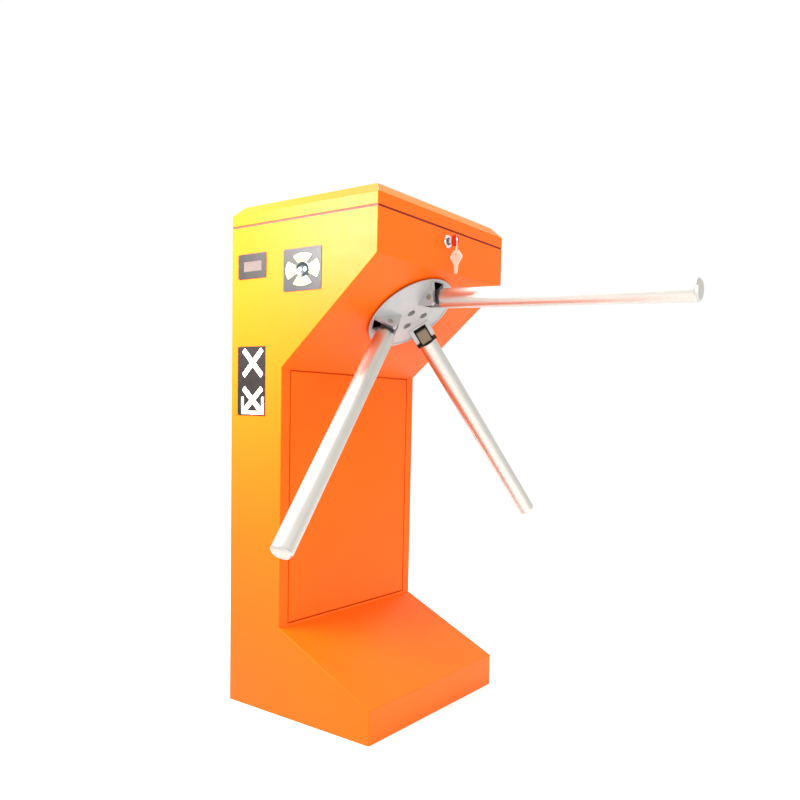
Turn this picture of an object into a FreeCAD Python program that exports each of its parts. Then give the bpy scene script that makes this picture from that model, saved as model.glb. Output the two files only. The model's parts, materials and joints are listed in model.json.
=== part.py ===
import FreeCAD, Part
import math
import os
import re

import Sketcher
from fcgear import fcgear, involute

# Visitor counter turnstile: a C-shaped sheet-steel cabinet with a slanting panel that carries a
# three-arm rotor. Millimetres, +Z up. The origin is on the floor, at the middle of the four anchor
# holes. +X points to the passage, where the arms stand, and -Y is the side with the displays.
# The rotor's own frame has its origin on the slanting panel, X up the slope and Z outwards along
# the rotor's axis. Each arm's own frame has its origin on its pivot pin and Z along the arm.

SIZES = {
    # cabinet
    "total_height": 980, "width": 400, "depth": 372, "wall": 2, "edge_round": 2,
    "column_depth": 142, "toe_height": 64.5, "toe_angle": 24.7,
    "slant_low": 667.4, "slant_angle": 39.7, "seam_height": 936,
    "rim_width": 12, "rotor_opening": 86,
    # lid
    "seam_gap": 4, "lid_shoulder": 961, "lid_inset": 18, "gasket_inset": 1.2, "gasket_width": 8,
    "front_gasket": 2.3,
    "strike_inner": 18, "strike_outer": 34, "strike_low": 903, "strike_reach": 8,
    # lid hinges
    "hinge_out": 5.5, "knuckle_round": 5, "knuckle_long": 20, "knuckle_gap": 0.3,
    "hinge_pin_round": 2.5, "pin_play": 0.05, "leaf_thick": 2, "leaf_half": 30, "leaf_tall": 30,
    "lid_leaf_tall": 20, "leaf_step": 6, "hinge_side": 120,
    # service panel in the column
    "door_half": 178, "door_low": 174.5, "door_high": 664.5, "door_gap": 2.5,
    "lip_back": 8, "lip_wide": 20, "stud_inset": 10, "stud_round": 3, "stud_long": 14,
    "stud_hole": 5, "clip_round": 8, "clip_long": 6, "clip_play": 0.1,
    "channel_side": 70, "channel_wide": 40, "channel_deep": 10, "channel_trim": 26,
    # base plate
    "plate_thick": 6, "plate_play": 0.5, "anchor_x": 250, "anchor_y": 300, "anchor_round": 7,
    "cable_back": 71, "cable_hole": 20, "grommet_bore": 14, "grommet_flange": 25,
    "grommet_tall": 3,
    # cam lock, keys and ring
    "lock_side": 2, "lock_height": 915.4, "barrel_round": 9.5, "barrel_long": 22,
    "barrel_head": 12, "barrel_proud": 3, "barrel_play": 0.2, "plug_round": 6.95,
    "plug_bore": 7, "plug_proud": 0.5, "tail_round": 4, "tail_long": 6, "nut_across": 24,
    "nut_thick": 4, "nut_play": 0.05, "cam_thick": 3, "cam_half": 7, "cam_long": 36,
    "blade_thick": 2.2, "blade_tall": 8, "blade_play": 0.2, "blade_long": 24, "blade_out": 9,
    "bow_centre": 17.5, "bow_wide": 16, "bow_tall": 21, "bow_corner": 6, "bow_thick": 3.6,
    "bow_hole": 3, "bow_hole_x": 3.5, "bow_hole_z": 5, "bow_slot": 0.1,
    "ring_round": 14.5, "ring_wire": 0.8, "ring_turn": 38,
    "spare_thick": 2, "spare_half": 13.5, "spare_shoulder": 6, "spare_neck": 21,
    "spare_blade": 4.5, "spare_long": 38, "spare_top": 6, "spare_hole": 2.6,
    # displays on the side
    "proud": 1.2, "boss_deep": 4, "corner_round": 3,
    "bezel_x": 59, "bezel_z": 860.8, "bezel_long": 78, "bezel_tall": 47.5,
    "window_x": 60.3, "window_z": 860.5, "window_long": 50.5, "window_tall": 19,
    "window_thick": 1.5, "window_deep": 0.5, "boss_margin": 6,
    "dial_x": 193.8, "dial_z": 844.5, "dial_long": 96.5, "dial_tall": 77,
    "ring_x": 195.5, "ring_z": 844, "ring_long": 43, "ring_tall": 29.5, "ring_core": 0.44,
    "ring_thick": 0.8, "cross_half": 12, "light_x": 6.5, "light_round": 4, "light_thick": 1,
    "sign_x": 58.8, "sign_z": 641.8, "sign_long": 77.5, "sign_tall": 132.5,
    "bar_wide": 11, "bar_thick": 0.8, "bar_corner": 2.5, "tray_wide": 7,
    "cross_x": 64, "cross_reach": 53, "cross_rise": 50, "upper_cross": 676.8,
    "lower_cross": 605.4, "lower_rise": 46, "tray_low": 577.6, "tray_high": 612,
    "board_thick": 1.6, "board_gap": 8, "board_low": 815, "board_high": 890,
    "board_start": 25, "board_end": 245,
    # rotor disc
    "hub_rise": 187.4, "disc_round": 94, "disc_back": 4, "rim_height": 6.5, "rim_band": 5,
    "rim_step": 1, "dome_height": 17, "dome_flat": 38, "spigot_round": 40, "spigot_deep": 3,
    "pivot_radius": 62.5, "pivot_height": 23, "arm_angle": 48.4,
    "cheek_wide": 44, "cheek_gap": 28, "cheek_end": 10.5, "cheek_rise": 15, "cheek_cut": 5,
    "cheek_back": 24, "slot_inner": 37, "slot_outer": 87, "screw_radius": 22, "screw_round": 4,
    "screw_play": 0.3, "head_round": 6.5, "head_tall": 8, "head_pocket": 8, "socket_across": 6,
    "socket_deep": 4,
    # arms
    "pin_round": 5.5, "pin_proud": 0.6, "dimple_round": 3.2, "dimple_deep": 1.2,
    "pivot_play": 0.06, "bar_side": 21.5, "bar_deep": 24, "bar_back": 14, "boss_round": 11,
    "boss_side": 26, "collar_start": 16.5, "collar_side": 43, "collar_deep": 20, "tube_start": 19,
    "tube_round": 19, "tube_wall": 1.5, "arm_end": 512, "cap_thick": 6, "cap_bevel": 3.5,
    "cap_plug": 20, "block_plug": 42, "plug_ease": 0.1,
    # shaft, housing and bearings
    "flange_round": 38, "flange_thick": 10, "collar_small": 18, "bearing_front": 19,
    "bearing_wide": 13, "bearing_outer": 27.5, "bearing_inner": 15, "race_inner": 18.2,
    "race_outer": 24, "ball_round": 2.85, "shaft_play": 0.05, "journal_end": 75,
    "seat_round": 12.5, "seat_end": 106, "thread_round": 10, "thread_end": 120,
    "spigot_small": 5, "shaft_end": 128, "rear_bearing": 57, "housing_front": 17,
    "housing_nose": 34, "housing_flange": 62, "flange_front": 28, "housing_rear": 32,
    "housing_end": 72, "housing_neck": 23, "bolt_radius": 52, "bolt_round": 3, "bolt_play": 0.1,
    "bolt_head": 5, "bolt_tall": 6,
    # mechanism plate
    "mech_front": 36, "mech_back": 42, "mech_low": 115, "mech_high": 80, "mech_half": 125,
    "mech_foot": 20, "mech_bore": 33,
    # drive gear, damper and counting disc
    "gear_module": 1.5, "gear_teeth": 54, "pinion_teeth": 18, "pressure_angle": 20,
    "mesh_ease": 0.2, "gear_front": 78, "gear_back": 90, "gear_boss": 17, "boss_back": 94,
    "pinion_shaft": 5, "damper_round": 20, "damper_back": 76, "damper_floor": 48,
    "disc_edge": 30, "disc_front": 122.5, "disc_rear": 124, "disc_hub": 9,
    "disc_slots": 6, "slot_start": 20, "slot_end": 26, "slot_half": 3,
    "shaft_nut_across": 30, "shaft_nut_end": 116, "seat_ease": 0.02,
    "sensor_tip": 22, "sensor_back": 84, "sensor_post": 72, "sensor_half": 8,
    "jaw_top": 116.5, "jaw_upper": 121, "jaw_lower": 125.5, "jaw_bottom": 130,
    # lock wheel, pawls and solenoids
    "wheel_round": 46, "wheel_notches": 6, "notch_floor": 38.5, "notch_half": 8.5,
    "wheel_front": 94, "pawl_x": 58, "pawl_y": 54, "pawl_eye": 11, "pawl_pin": 6,
    "pawl_bore": 6.06, "pawl_nose": 49.5, "pawl_top": 62, "pawl_under": 54, "nose_left": 4,
    "nose_right": 6, "tail_end": 98, "tail_x": 93, "tail_half": 5, "link_round": 2,
    "link_play": 0.15, "link_run": 2, "post_round": 9, "post_head": 108, "post_gap": 0.3,
    "fork_half": 5.5, "fork_plate": 2.5, "fork_low": 49, "fork_bridge": 64, "fork_top": 68,
    "rod_round": 4, "rod_play": 0.08, "rod_end": 112, "coil_half": 18, "coil_low": 74,
    "coil_high": 116, "coil_front": 82, "coil_back": 118, "leg_thick": 2,
    # electronics in the column
    "post_small": 4, "pcb_out": 12, "pcb_low": 420, "pcb_high": 560, "pcb_left": -110,
    "pcb_right": 50, "pcb_edge": 8, "chip_tall": 4, "chip_side": 24, "relay_tall": 15,
    "relay_wide": 12, "relay_long": 20, "relay_pitch": 17, "terminal_tall": 12,
    "terminal_wide": 10, "supply_deep": 38, "supply_half": 49, "supply_low": 240,
    "supply_high": 370, "supply_step": 18, "supply_ledge": 20,
    "loom_round": 3, "loom_bend": 25,
}

DOC = FreeCAD.newDocument("Turnstile")
SHEET = DOC.addObject("Spreadsheet::Sheet", "Sizes")
NODES = []


def fill_sheet():
    """Write each driving dimension to the sheet with its name as the alias."""
    for row, (name, size) in enumerate(SIZES.items(), start=1):
        SHEET.set("A%d" % row, name)
        SHEET.set("B%d" % row, str(size))
        SHEET.setAlias("B%d" % row, name)
    DOC.recompute()


def bound(text):
    """Turn the size names in a formula into references to the sheet."""
    def refer(word):
        name = word.group(0)
        return "Sizes." + name if name in SIZES else name
    return re.sub(r"[a-z_]+", refer, str(text))


def value(text):
    """Work out a formula of size names as a number."""
    return float(SHEET.evalExpression(bound(text)))


def bind(item, prop, text):
    """Bind one property of an object to a formula of size names."""
    item.setExpression(prop, bound(text))


def from_back(text):
    """A distance from the cabinet's back face, as a place along X."""
    return "(%s) - depth / 2" % text


# frames

def rotor_frame():
    """The rotor's frame: origin on the slanting panel, X up the slope, Z outwards."""
    slant = math.radians(value("slant_angle"))
    up_slope = FreeCAD.Vector(math.cos(slant), 0, math.sin(slant))
    outwards = FreeCAD.Vector(math.sin(slant), 0, -math.cos(slant))
    corner = FreeCAD.Vector(value(from_back("column_depth")), 0, value("slant_low"))
    turn = FreeCAD.Rotation(up_slope, outwards.cross(up_slope), outwards, "ZXY")
    return FreeCAD.Placement(corner + up_slope * value("hub_rise"), turn)


def arm_frame(angle):
    """An arm's frame: origin on its pivot, X along the pivot pin, Z along the arm."""
    turn = math.radians(angle)
    lean = math.radians(value("arm_angle"))
    radial = FreeCAD.Vector(math.cos(turn), math.sin(turn), 0)
    axis = FreeCAD.Vector(0, 0, 1)
    tangent = axis.cross(radial)
    along = radial * math.sin(lean) + axis * math.cos(lean)
    pivot = radial * value("pivot_radius") + axis * value("pivot_height")
    local = FreeCAD.Placement(pivot, FreeCAD.Rotation(tangent, along.cross(tangent), along, "ZXY"))
    return ROTOR.multiply(local)


def lock_frame():
    """The cam lock's frame: origin on the front face, Z outwards along its axis, Y up."""
    place = FreeCAD.Vector(value("depth / 2"), value("lock_side"), value("lock_height"))
    outwards = FreeCAD.Vector(1, 0, 0)
    up = FreeCAD.Vector(0, 0, 1)
    return FreeCAD.Placement(place, FreeCAD.Rotation(up.cross(outwards), up, outwards, "ZXY"))


# PartDesign helpers

def new_body(label, frame=None):
    """A sub-part made as a PartDesign body, in its own frame."""
    body = DOC.addObject("PartDesign::Body", label)
    body.Label = label
    if frame is not None:
        body.Placement = frame
    NODES.append(body)
    return body


def draw(body, role, lift, loops):
    """A sketch on one of the body's origin planes, lifted along the plane's normal.

    A loop of three items is a circle (x, y, radius); any other is a list of corners.
    """
    sketch = body.newObject("Sketcher::SketchObject", body.Label + "_sketch")
    planes = [item for item in body.Origin.OriginFeatures if item.Role == role]
    sketch.AttachmentSupport = [(planes[0], "")]
    sketch.MapMode = "FlatFace"
    bind(sketch, "AttachmentOffset.Base.z", lift)
    for loop in loops:
        if isinstance(loop, tuple):
            add_circle(sketch, *loop)
        else:
            add_polygon(sketch, loop)
    return sketch


def fix_point(sketch, curve, point, place):
    """Hold a sketch point at a place given by two formulas."""
    for kind, text in zip(("DistanceX", "DistanceY"), place):
        rule = Sketcher.Constraint(kind, -1, 1, curve, point, value(text))
        index = sketch.addConstraint(rule)
        sketch.setExpression("Constraints[%d]" % index, bound(text))


def add_circle(sketch, x, y, radius):
    """Add a circle whose centre and radius follow formulas."""
    centre = FreeCAD.Vector(value(x), value(y), 0)
    circle = Part.Circle(centre, FreeCAD.Vector(0, 0, 1), value(radius))
    curve = sketch.addGeometry(circle)
    fix_point(sketch, curve, 3, (x, y))
    index = sketch.addConstraint(Sketcher.Constraint("Radius", curve, value(radius)))
    sketch.setExpression("Constraints[%d]" % index, bound(radius))


def add_polygon(sketch, corners):
    """Add a closed outline whose corners follow formulas."""
    points = [FreeCAD.Vector(value(x), value(y), 0) for x, y in corners]
    count = len(points)
    first = sketch.GeometryCount
    for index in range(count):
        sketch.addGeometry(Part.LineSegment(points[index], points[(index + 1) % count]))
    for index in range(count):
        follower = first + (index + 1) % count
        sketch.addConstraint(Sketcher.Constraint("Coincident", first + index, 2, follower, 1))
    for index, corner in enumerate(corners):
        fix_point(sketch, first + index, 1, corner)


def rectangle(low, high):
    """The four corners of a rectangle between two opposite corners."""
    return [low, (high[0], low[1]), high, (low[0], high[1])]


def centred(x, y, wide, tall):
    """The four corners of a rectangle about its middle."""
    low = ("(%s) - (%s) / 2" % (x, wide), "(%s) - (%s) / 2" % (y, tall))
    high = ("(%s) + (%s) / 2" % (x, wide), "(%s) + (%s) / 2" % (y, tall))
    return rectangle(low, high)


def pad(body, sketch, length, both=False, reverse=False):
    """Pad a sketch along its normal, or by half the length each way."""
    feature = body.newObject("PartDesign::Pad", body.Label + "_pad")
    feature.Profile = sketch
    bind(feature, "Length", length)
    feature.SideType = "Symmetric" if both else "One side"
    feature.Reversed = reverse
    body.Tip = feature
    return feature


def cut(body, sketch, length):
    """Cut a sketch by half the length each way, and stop if nothing was cut."""
    DOC.recompute()
    before = body.Shape.Volume
    feature = body.newObject("PartDesign::Pocket", body.Label + "_pocket")
    feature.Profile = sketch
    bind(feature, "Length", length)
    feature.SideType = "Symmetric"
    body.Tip = feature
    DOC.recompute()
    if not body.Shape.Volume < before:
        raise ValueError("a cut in %s removes nothing" % body.Label)
    return feature


def turn(body, sketch, groove=False):
    """Revolve a sketch on the XZ plane about the body's Z axis."""
    kind = "PartDesign::Groove" if groove else "PartDesign::Revolution"
    feature = body.newObject(kind, body.Label + "_turned")
    feature.Profile = sketch
    feature.ReferenceAxis = (sketch, ["V_Axis"])
    feature.Angle = 360
    body.Tip = feature
    return feature


def repeat(body, features, count):
    """Repeat features about the body's Z axis."""
    DOC.recompute()
    pattern = body.newObject("PartDesign::PolarPattern", body.Label + "_pattern")
    pattern.Originals = features
    axes = [item for item in body.Origin.OriginFeatures if item.Role == "Z_Axis"]
    pattern.Axis = (axes[0], [""])
    pattern.Angle = 360
    bind(pattern, "Occurrences", count)
    body.Tip = pattern
    DOC.recompute()
    return pattern


def soften(body, size, wanted, bevel=False):
    """Round or bevel the edges of the body's last feature that pass a test."""
    DOC.recompute()
    base = body.Tip
    names = []
    for index, edge in enumerate(base.Shape.Edges, start=1):
        if wanted(edge):
            names.append("Edge%d" % index)
    kind = "PartDesign::Chamfer" if bevel else "PartDesign::Fillet"
    feature = body.newObject(kind, body.Label + "_edges")
    feature.Base = (base, names)
    bind(feature, "Size" if bevel else "Radius", size)
    body.Tip = feature
    DOC.recompute()
    return feature


def flat_body(label, role, lift, thick, loops, frame=None):
    """A body that is one padded sketch."""
    body = new_body(label, frame)
    pad(body, draw(body, role, lift, loops), thick)
    return body


def turned_body(label, outline, frame=None):
    """A body that is one outline of (radius, height) corners turned about Z."""
    body = new_body(label, frame)
    turn(body, draw(body, "XZ_Plane", "0", [outline]))
    return body


def lies_along(edge, axis):
    """Whether a straight edge runs along an axis, 0 for X, 1 for Y and 2 for Z."""
    if edge.Curve.TypeId != "Part::GeomLine":
        return False
    return abs(abs(edge.Curve.Direction[axis]) - 1) < 1e-6


# Part helpers

def box(name, low, high):
    """A Part box between two opposite corners given by formulas."""
    item = DOC.addObject("Part::Box", name)
    for prop, axis, start, end in zip(("Length", "Width", "Height"), "xyz", low, high):
        bind(item, prop, "(%s) - (%s)" % (end, start))
        bind(item, "Placement.Base." + axis, start)
    return item


def rod(name, place, radius, height, direction=None):
    """A Part cylinder from a place given by formulas, along a direction."""
    item = DOC.addObject("Part::Cylinder", name)
    bind(item, "Radius", radius)
    bind(item, "Height", height)
    if direction is not None:
        item.Placement = FreeCAD.Placement(FreeCAD.Vector(), aim(direction))
    for axis, text in zip("xyz", place):
        bind(item, "Placement.Base." + axis, text)
    return item


def aim(direction):
    """The rotation that turns +Z to a direction."""
    return FreeCAD.Rotation(FreeCAD.Vector(0, 0, 1), FreeCAD.Vector(*direction))


def fuse(name, parts):
    """The union of several Part objects."""
    item = DOC.addObject("Part::MultiFuse", name)
    item.Shapes = parts
    item.Refine = True
    return item


def minus(name, base, tool):
    """One Part object cut by another."""
    item = DOC.addObject("Part::Cut", name)
    item.Base = base
    item.Tool = tool
    item.Refine = True
    return item


def node(item, label, frame=None):
    """Name a Part object as a sub-part and place it."""
    item.Label = label
    if frame is not None:
        item.Placement = frame
    NODES.append(item)
    return item


def group(label, parts, frame=None):
    """Several separate solids that share one sub-part."""
    item = DOC.addObject("Part::Compound", label)
    item.Links = parts
    return node(item, label, frame)


# cabinet

def cabinet_outline(inset, low, high):
    """The C-shaped outline, moved inwards by an inset, from a bottom to a top height."""
    toe_drop = "(%s) / cos(toe_angle)" % inset
    slant_lift = "(%s) / cos(slant_angle)" % inset
    front = from_back("depth - (%s)" % inset)
    column = from_back("column_depth - (%s)" % inset)
    back = from_back(inset)
    overhang = "(depth - column_depth)"
    toe_front = "toe_height + (%s) * tan(toe_angle) - %s" % (inset, toe_drop)
    toe_back = "toe_height + (%s + (%s)) * tan(toe_angle) - %s" % (overhang, inset, toe_drop)
    slant_back = "slant_low - (%s) * tan(slant_angle) + %s" % (inset, slant_lift)
    slant_front = "slant_low + (%s - (%s)) * tan(slant_angle) + %s" % (overhang, inset, slant_lift)
    return [(back, low), (front, low), (front, toe_front), (column, toe_back),
            (column, slant_back), (front, slant_front), (front, high), (back, high)]


def make_cabinet_body():
    body = new_body("cabinet_body")
    outline = cabinet_outline("0", "0", "seam_height")
    pad(body, draw(body, "XZ_Plane", "0", [outline]), "width", both=True)
    top = value("seam_height")
    inner_corner = value(from_back("column_depth"))

    def rounded(edge):
        box_of = edge.BoundBox
        at_end = box_of.ZMax < 1 or box_of.ZMin > top - 1
        inside_bend = lies_along(edge, 1) and abs(box_of.XMin - inner_corner) < 1
        return not at_end and not inside_bend

    soften(body, "edge_round", rounded)
    hollow = cabinet_outline("wall", "-wall", "seam_height + wall")
    cut(body, draw(body, "XZ_Plane", "0", [hollow]), "width - 2 * wall")
    add_door_frame(body)
    add_rim(body)
    cut_side_windows(body)
    lock_hole = ("lock_side", "lock_height", "barrel_round + barrel_play")
    cut(body, draw(body, "YZ_Plane", "depth / 2", [lock_hole]), "4 * wall")
    opening = body.newObject("PartDesign::SubtractiveCylinder", "rotor_opening_cut")
    bind(opening, "Radius", "rotor_opening")
    bind(opening, "Height", "8 * wall")
    opening.Placement = ROTOR.multiply(FreeCAD.Placement(FreeCAD.Vector(0, 0, value("-4 * wall")),
                                                         FreeCAD.Rotation()))
    body.Tip = opening


def add_door_frame(body):
    """The opening in the column and the set-back lip that the service panel rests against."""
    front = from_back("column_depth")
    opening = rectangle(("-door_half", "door_low"), ("door_half", "door_high"))
    cut(body, draw(body, "YZ_Plane", front, [opening]), "4 * wall")
    outer = rectangle(("-door_half - wall", "door_low - wall"), ("door_half + wall", "door_high + wall"))
    inner = rectangle(("-door_half + lip_wide", "door_low + lip_wide"),
                      ("door_half - lip_wide", "door_high - lip_wide"))
    side = "door_half - stud_inset"
    low = "door_low + stud_inset"
    high = "door_high - stud_inset"
    holes = [(y, z, "stud_hole") for y in ("-(%s)" % side, side) for z in (low, high)]
    flange = draw(body, "YZ_Plane", "%s - lip_back + wall" % front, [outer, opening])
    pad(body, flange, "lip_back - 2 * wall")
    lip = draw(body, "YZ_Plane", "%s - lip_back" % front, [outer, inner] + holes)
    pad(body, lip, "wall")


def add_rim(body):
    """The turned-in rim round the sides and back of the open top."""
    left = from_back("wall / 2")
    right = from_back("depth - wall / 2")
    side = "width / 2 - wall / 2"
    inner = "width / 2 - rim_width"
    inner_back = from_back("rim_width")
    rim = [(right, "-(%s)" % side), (right, "-(%s)" % inner), (inner_back, "-(%s)" % inner),
           (inner_back, inner), (right, inner), (right, side), (left, side), (left, "-(%s)" % side)]
    pad(body, draw(body, "XY_Plane", "seam_height - wall", [rim]), "wall")


def cut_side_windows(body):
    """The cut-outs in the side wall behind the counter display and the light ring."""
    for name in ("bezel", "dial"):
        opening = centred(from_back(name + "_x"), name + "_z",
                          "%s_long - 2 * boss_margin" % name, "%s_tall - 2 * boss_margin" % name)
        cut(body, draw(body, "XZ_Plane", "width / 2", [opening]), "4 * wall")


def make_base_plate():
    body = new_body("base_plate")
    long = "depth - 2 * wall - 2 * plate_play"
    wide = "width - 2 * wall - 2 * plate_play"
    cable = (from_back("cable_back"), "0", "cable_hole")
    pad(body, draw(body, "XY_Plane", "0", [centred("0", "0", long, wide), cable]), "plate_thick")
    anchors = [("%s anchor_x / 2" % x, "%s anchor_y / 2" % y, "anchor_round")
               for x in ("-", "") for y in ("-", "")]
    cut(body, draw(body, "XY_Plane", "plate_thick / 2", anchors), "2 * plate_thick")


def make_cable_grommet():
    outline = [("grommet_bore", "0"), ("cable_hole", "0"), ("cable_hole", "plate_thick"),
               ("grommet_flange", "plate_thick"), ("grommet_flange", "plate_thick + grommet_tall"),
               ("grommet_bore", "plate_thick + grommet_tall")]
    place = FreeCAD.Vector(value(from_back("cable_back")), 0, 0)
    turned_body("cable_grommet", outline, FreeCAD.Placement(place, FreeCAD.Rotation()))


# lid and its hinges

def make_top_lid():
    body = new_body("top_lid")
    low = "seam_height + seam_gap"
    full = centred("0", "0", "depth", "width")
    top = centred("0", "0", "depth - 2 * lid_inset", "width - 2 * lid_inset")
    pad(body, draw(body, "XY_Plane", low, [full]), "lid_shoulder - seam_height - seam_gap")
    slope = body.newObject("PartDesign::AdditiveLoft", "lid_slope")
    slope.Profile = draw(body, "XY_Plane", "lid_shoulder", [full])
    slope.Sections = [draw(body, "XY_Plane", "total_height", [top])]
    slope.Ruled = True
    body.Tip = slope
    bottom = value(low)

    def outside(edge):
        return edge.BoundBox.ZMax > bottom + 1

    soften(body, "edge_round", outside)
    inner = centred("0", "0", "depth - 2 * wall", "width - 2 * wall")
    inner_top = centred("0", "0", "depth - 2 * lid_inset - wall", "width - 2 * lid_inset - wall")
    cut(body, draw(body, "XY_Plane", low, [inner]), "2 * (lid_shoulder - seam_height - seam_gap)")
    hollow = body.newObject("PartDesign::SubtractiveLoft", "lid_hollow")
    hollow.Profile = draw(body, "XY_Plane", "lid_shoulder", [inner])
    hollow.Sections = [draw(body, "XY_Plane", "total_height - wall", [inner_top])]
    hollow.Ruled = True
    body.Tip = hollow
    add_strike(body)


def add_strike(body):
    """The hooked strike under the lid that the lock's cam holds down."""
    behind = "depth / 2 - barrel_long - cam_thick - 2"
    inner = "lock_side + strike_inner - 2"
    outer = "lock_side + strike_outer - 2"
    plate = rectangle((inner, "strike_low"), (outer, "total_height - wall"))
    pad(body, draw(body, "YZ_Plane", "%s - wall" % behind, [plate]), "wall")
    ledge = rectangle((inner, "strike_low"), (outer, "strike_low + wall"))
    pad(body, draw(body, "YZ_Plane", behind, [ledge]), "strike_reach")


def make_lid_gasket():
    side = "width / 2 - gasket_inset"
    outer = rectangle((from_back("gasket_inset"), "-(%s)" % side), (from_back("depth - gasket_inset"), side))
    inner = rectangle((from_back("gasket_inset + gasket_width"), "-(%s - gasket_width)" % side),
                      (from_back("depth - gasket_inset - front_gasket"), "%s - gasket_width" % side))
    flat_body("lid_gasket", "XY_Plane", "seam_height", "seam_gap", [outer, inner])


def hinge_leaf(name, y_place, side, ends):
    """One hinge leaf with its knuckles; side is +1 for the lid's leaf and -1 for the fixed one."""
    axis_x = "-depth / 2 - hinge_out"
    axis_z = "seam_height + seam_gap / 2"
    back = "-depth / 2 - leaf_thick"
    reach = "lid_leaf_tall" if side > 0 else "leaf_tall"
    near = "%s + %d * leaf_step" % (axis_z, side)
    far = "%s + %d * %s" % (axis_z, side, reach)
    low, high = (near, far) if side > 0 else (far, near)
    parts = [box(name + "_plate", (back, "%s - leaf_half" % y_place, low),
                 ("-depth / 2", "%s + leaf_half" % y_place, high))]
    for index, (start, end) in enumerate(ends):
        first = "%s + %s" % (y_place, start)
        last = "%s + %s" % (y_place, end)
        low, high = (axis_z, near) if side > 0 else (near, axis_z)
        parts.append(box("%s_tongue_%d" % (name, index), (back, first, low),
                         ("-depth / 2 - 0.5", last, high)))
        parts.append(rod("%s_knuckle_%d" % (name, index), (axis_x, first, axis_z), "knuckle_round",
                         "(%s) - (%s)" % (end, start), (0, 1, 0)))
    bore = rod(name + "_bore", (axis_x, "%s - leaf_half - 1" % y_place, axis_z),
               "hinge_pin_round + pin_play", "2 * leaf_half + 2", (0, 1, 0))
    return minus(name, fuse(name + "_solid", parts), bore)


def make_hinges():
    half = "knuckle_long / 2"
    outer = [("-leaf_half", "-(%s)" % half), (half, "leaf_half")]
    middle = [("-(%s) + knuckle_gap" % half, "%s - knuckle_gap" % half)]
    fixed, moving, pins = [], [], []
    for name, place in (("near", "-hinge_side"), ("far", "hinge_side")):
        fixed.append(hinge_leaf("fixed_leaf_" + name, place, -1, outer))
        moving.append(hinge_leaf("lid_leaf_" + name, place, 1, middle))
        start = ("-depth / 2 - hinge_out", "%s - leaf_half" % place, "seam_height + seam_gap / 2")
        pins.append(rod("hinge_pin_" + name, start, "hinge_pin_round", "2 * leaf_half", (0, 1, 0)))
    group("hinge_leaves_fixed", fixed)
    group("hinge_leaves_lid", moving)
    group("hinge_pins", pins)


# service panel

def make_service_panel():
    body = new_body("service_panel")
    front = from_back("column_depth")
    outline = rectangle(("-door_half + door_gap", "door_low + door_gap"),
                        ("door_half - door_gap", "door_high - door_gap"))
    pad(body, draw(body, "YZ_Plane", "%s - wall" % front, [outline]), "wall")
    soften(body, "wall / 2", lambda edge: edge.BoundBox.XMin > value(front) - 0.01)
    for side in ("-channel_side", "channel_side"):
        low = "door_low + channel_trim"
        high = "door_high - channel_trim"
        web = rectangle(("%s - channel_wide / 2" % side, low), ("%s + channel_wide / 2" % side, high))
        left = rectangle(web[0], ("%s - channel_wide / 2 + wall" % side, high))
        right = rectangle(("%s + channel_wide / 2 - wall" % side, low), web[2])
        pad(body, draw(body, "YZ_Plane", "%s - wall - channel_deep" % front, [left]), "channel_deep")
        pad(body, draw(body, "YZ_Plane", "%s - wall - channel_deep" % front, [right]), "channel_deep")
        pad(body, draw(body, "YZ_Plane", "%s - wall - channel_deep" % front, [web]), "wall")


def stud_places():
    """The places of the four panel studs across the column, as Y and Z formulas."""
    side = "door_half - stud_inset"
    heights = ("door_low + stud_inset", "door_high - stud_inset")
    return [(y, z) for y in ("-(%s)" % side, side) for z in heights]


def make_panel_fixings():
    inner_face = from_back("column_depth - wall")
    lip_face = from_back("column_depth - lip_back")
    studs, clips = [], []
    for index, (y, z) in enumerate(stud_places()):
        studs.append(rod("panel_stud_%d" % index, ("%s - stud_long" % inner_face, y, z),
                         "stud_round", "stud_long", (1, 0, 0)))
        socket = rod("clip_body_%d" % index, ("%s - clip_long" % lip_face, y, z),
                     "clip_round", "clip_long", (1, 0, 0))
        bore = rod("clip_bore_%d" % index, ("%s - clip_long - 1" % lip_face, y, z),
                   "stud_round + clip_play", "clip_long + 2", (1, 0, 0))
        clips.append(minus("panel_clip_%d" % index, socket, bore))
    group("panel_studs", studs)
    group("panel_clips", clips)


# cam lock, keys and ring; these share the lock's frame, Z outwards and Y up

def make_lock():
    barrel = [("plug_bore", "-barrel_long"), ("barrel_round", "-barrel_long"), ("barrel_round", "0"),
              ("barrel_head", "0"), ("barrel_head", "barrel_proud - 1"),
              ("barrel_head - 1", "barrel_proud"), ("plug_bore", "barrel_proud")]
    turned_body("lock_barrel", barrel, LOCK)
    nut = flat_body("lock_nut", "XY_Plane", "-wall - nut_thick", "nut_thick",
                    [hexagon("nut_across"), ("0", "0", "barrel_round + nut_play")], LOCK)
    nut.Label = "lock_nut"
    make_lock_plug()
    back = "-barrel_long - cam_thick"
    cam = rectangle(("-cam_half", "-cam_half"), ("cam_half", "cam_long"))
    body = flat_body("lock_cam", "XY_Plane", back, "cam_thick", [cam, ("0", "0", "tail_round")], LOCK)
    soften(body, "cam_half / 2", lambda edge: lies_along(edge, 2))
    make_inserted_key()


def hexagon(across):
    """A hexagon about the origin from its width across flats."""
    reach = "(%s) / 2 / cos(30)" % across
    return [("%s * cos(%d)" % (reach, angle), "%s * sin(%d)" % (reach, angle))
            for angle in range(0, 360, 60)]


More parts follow.
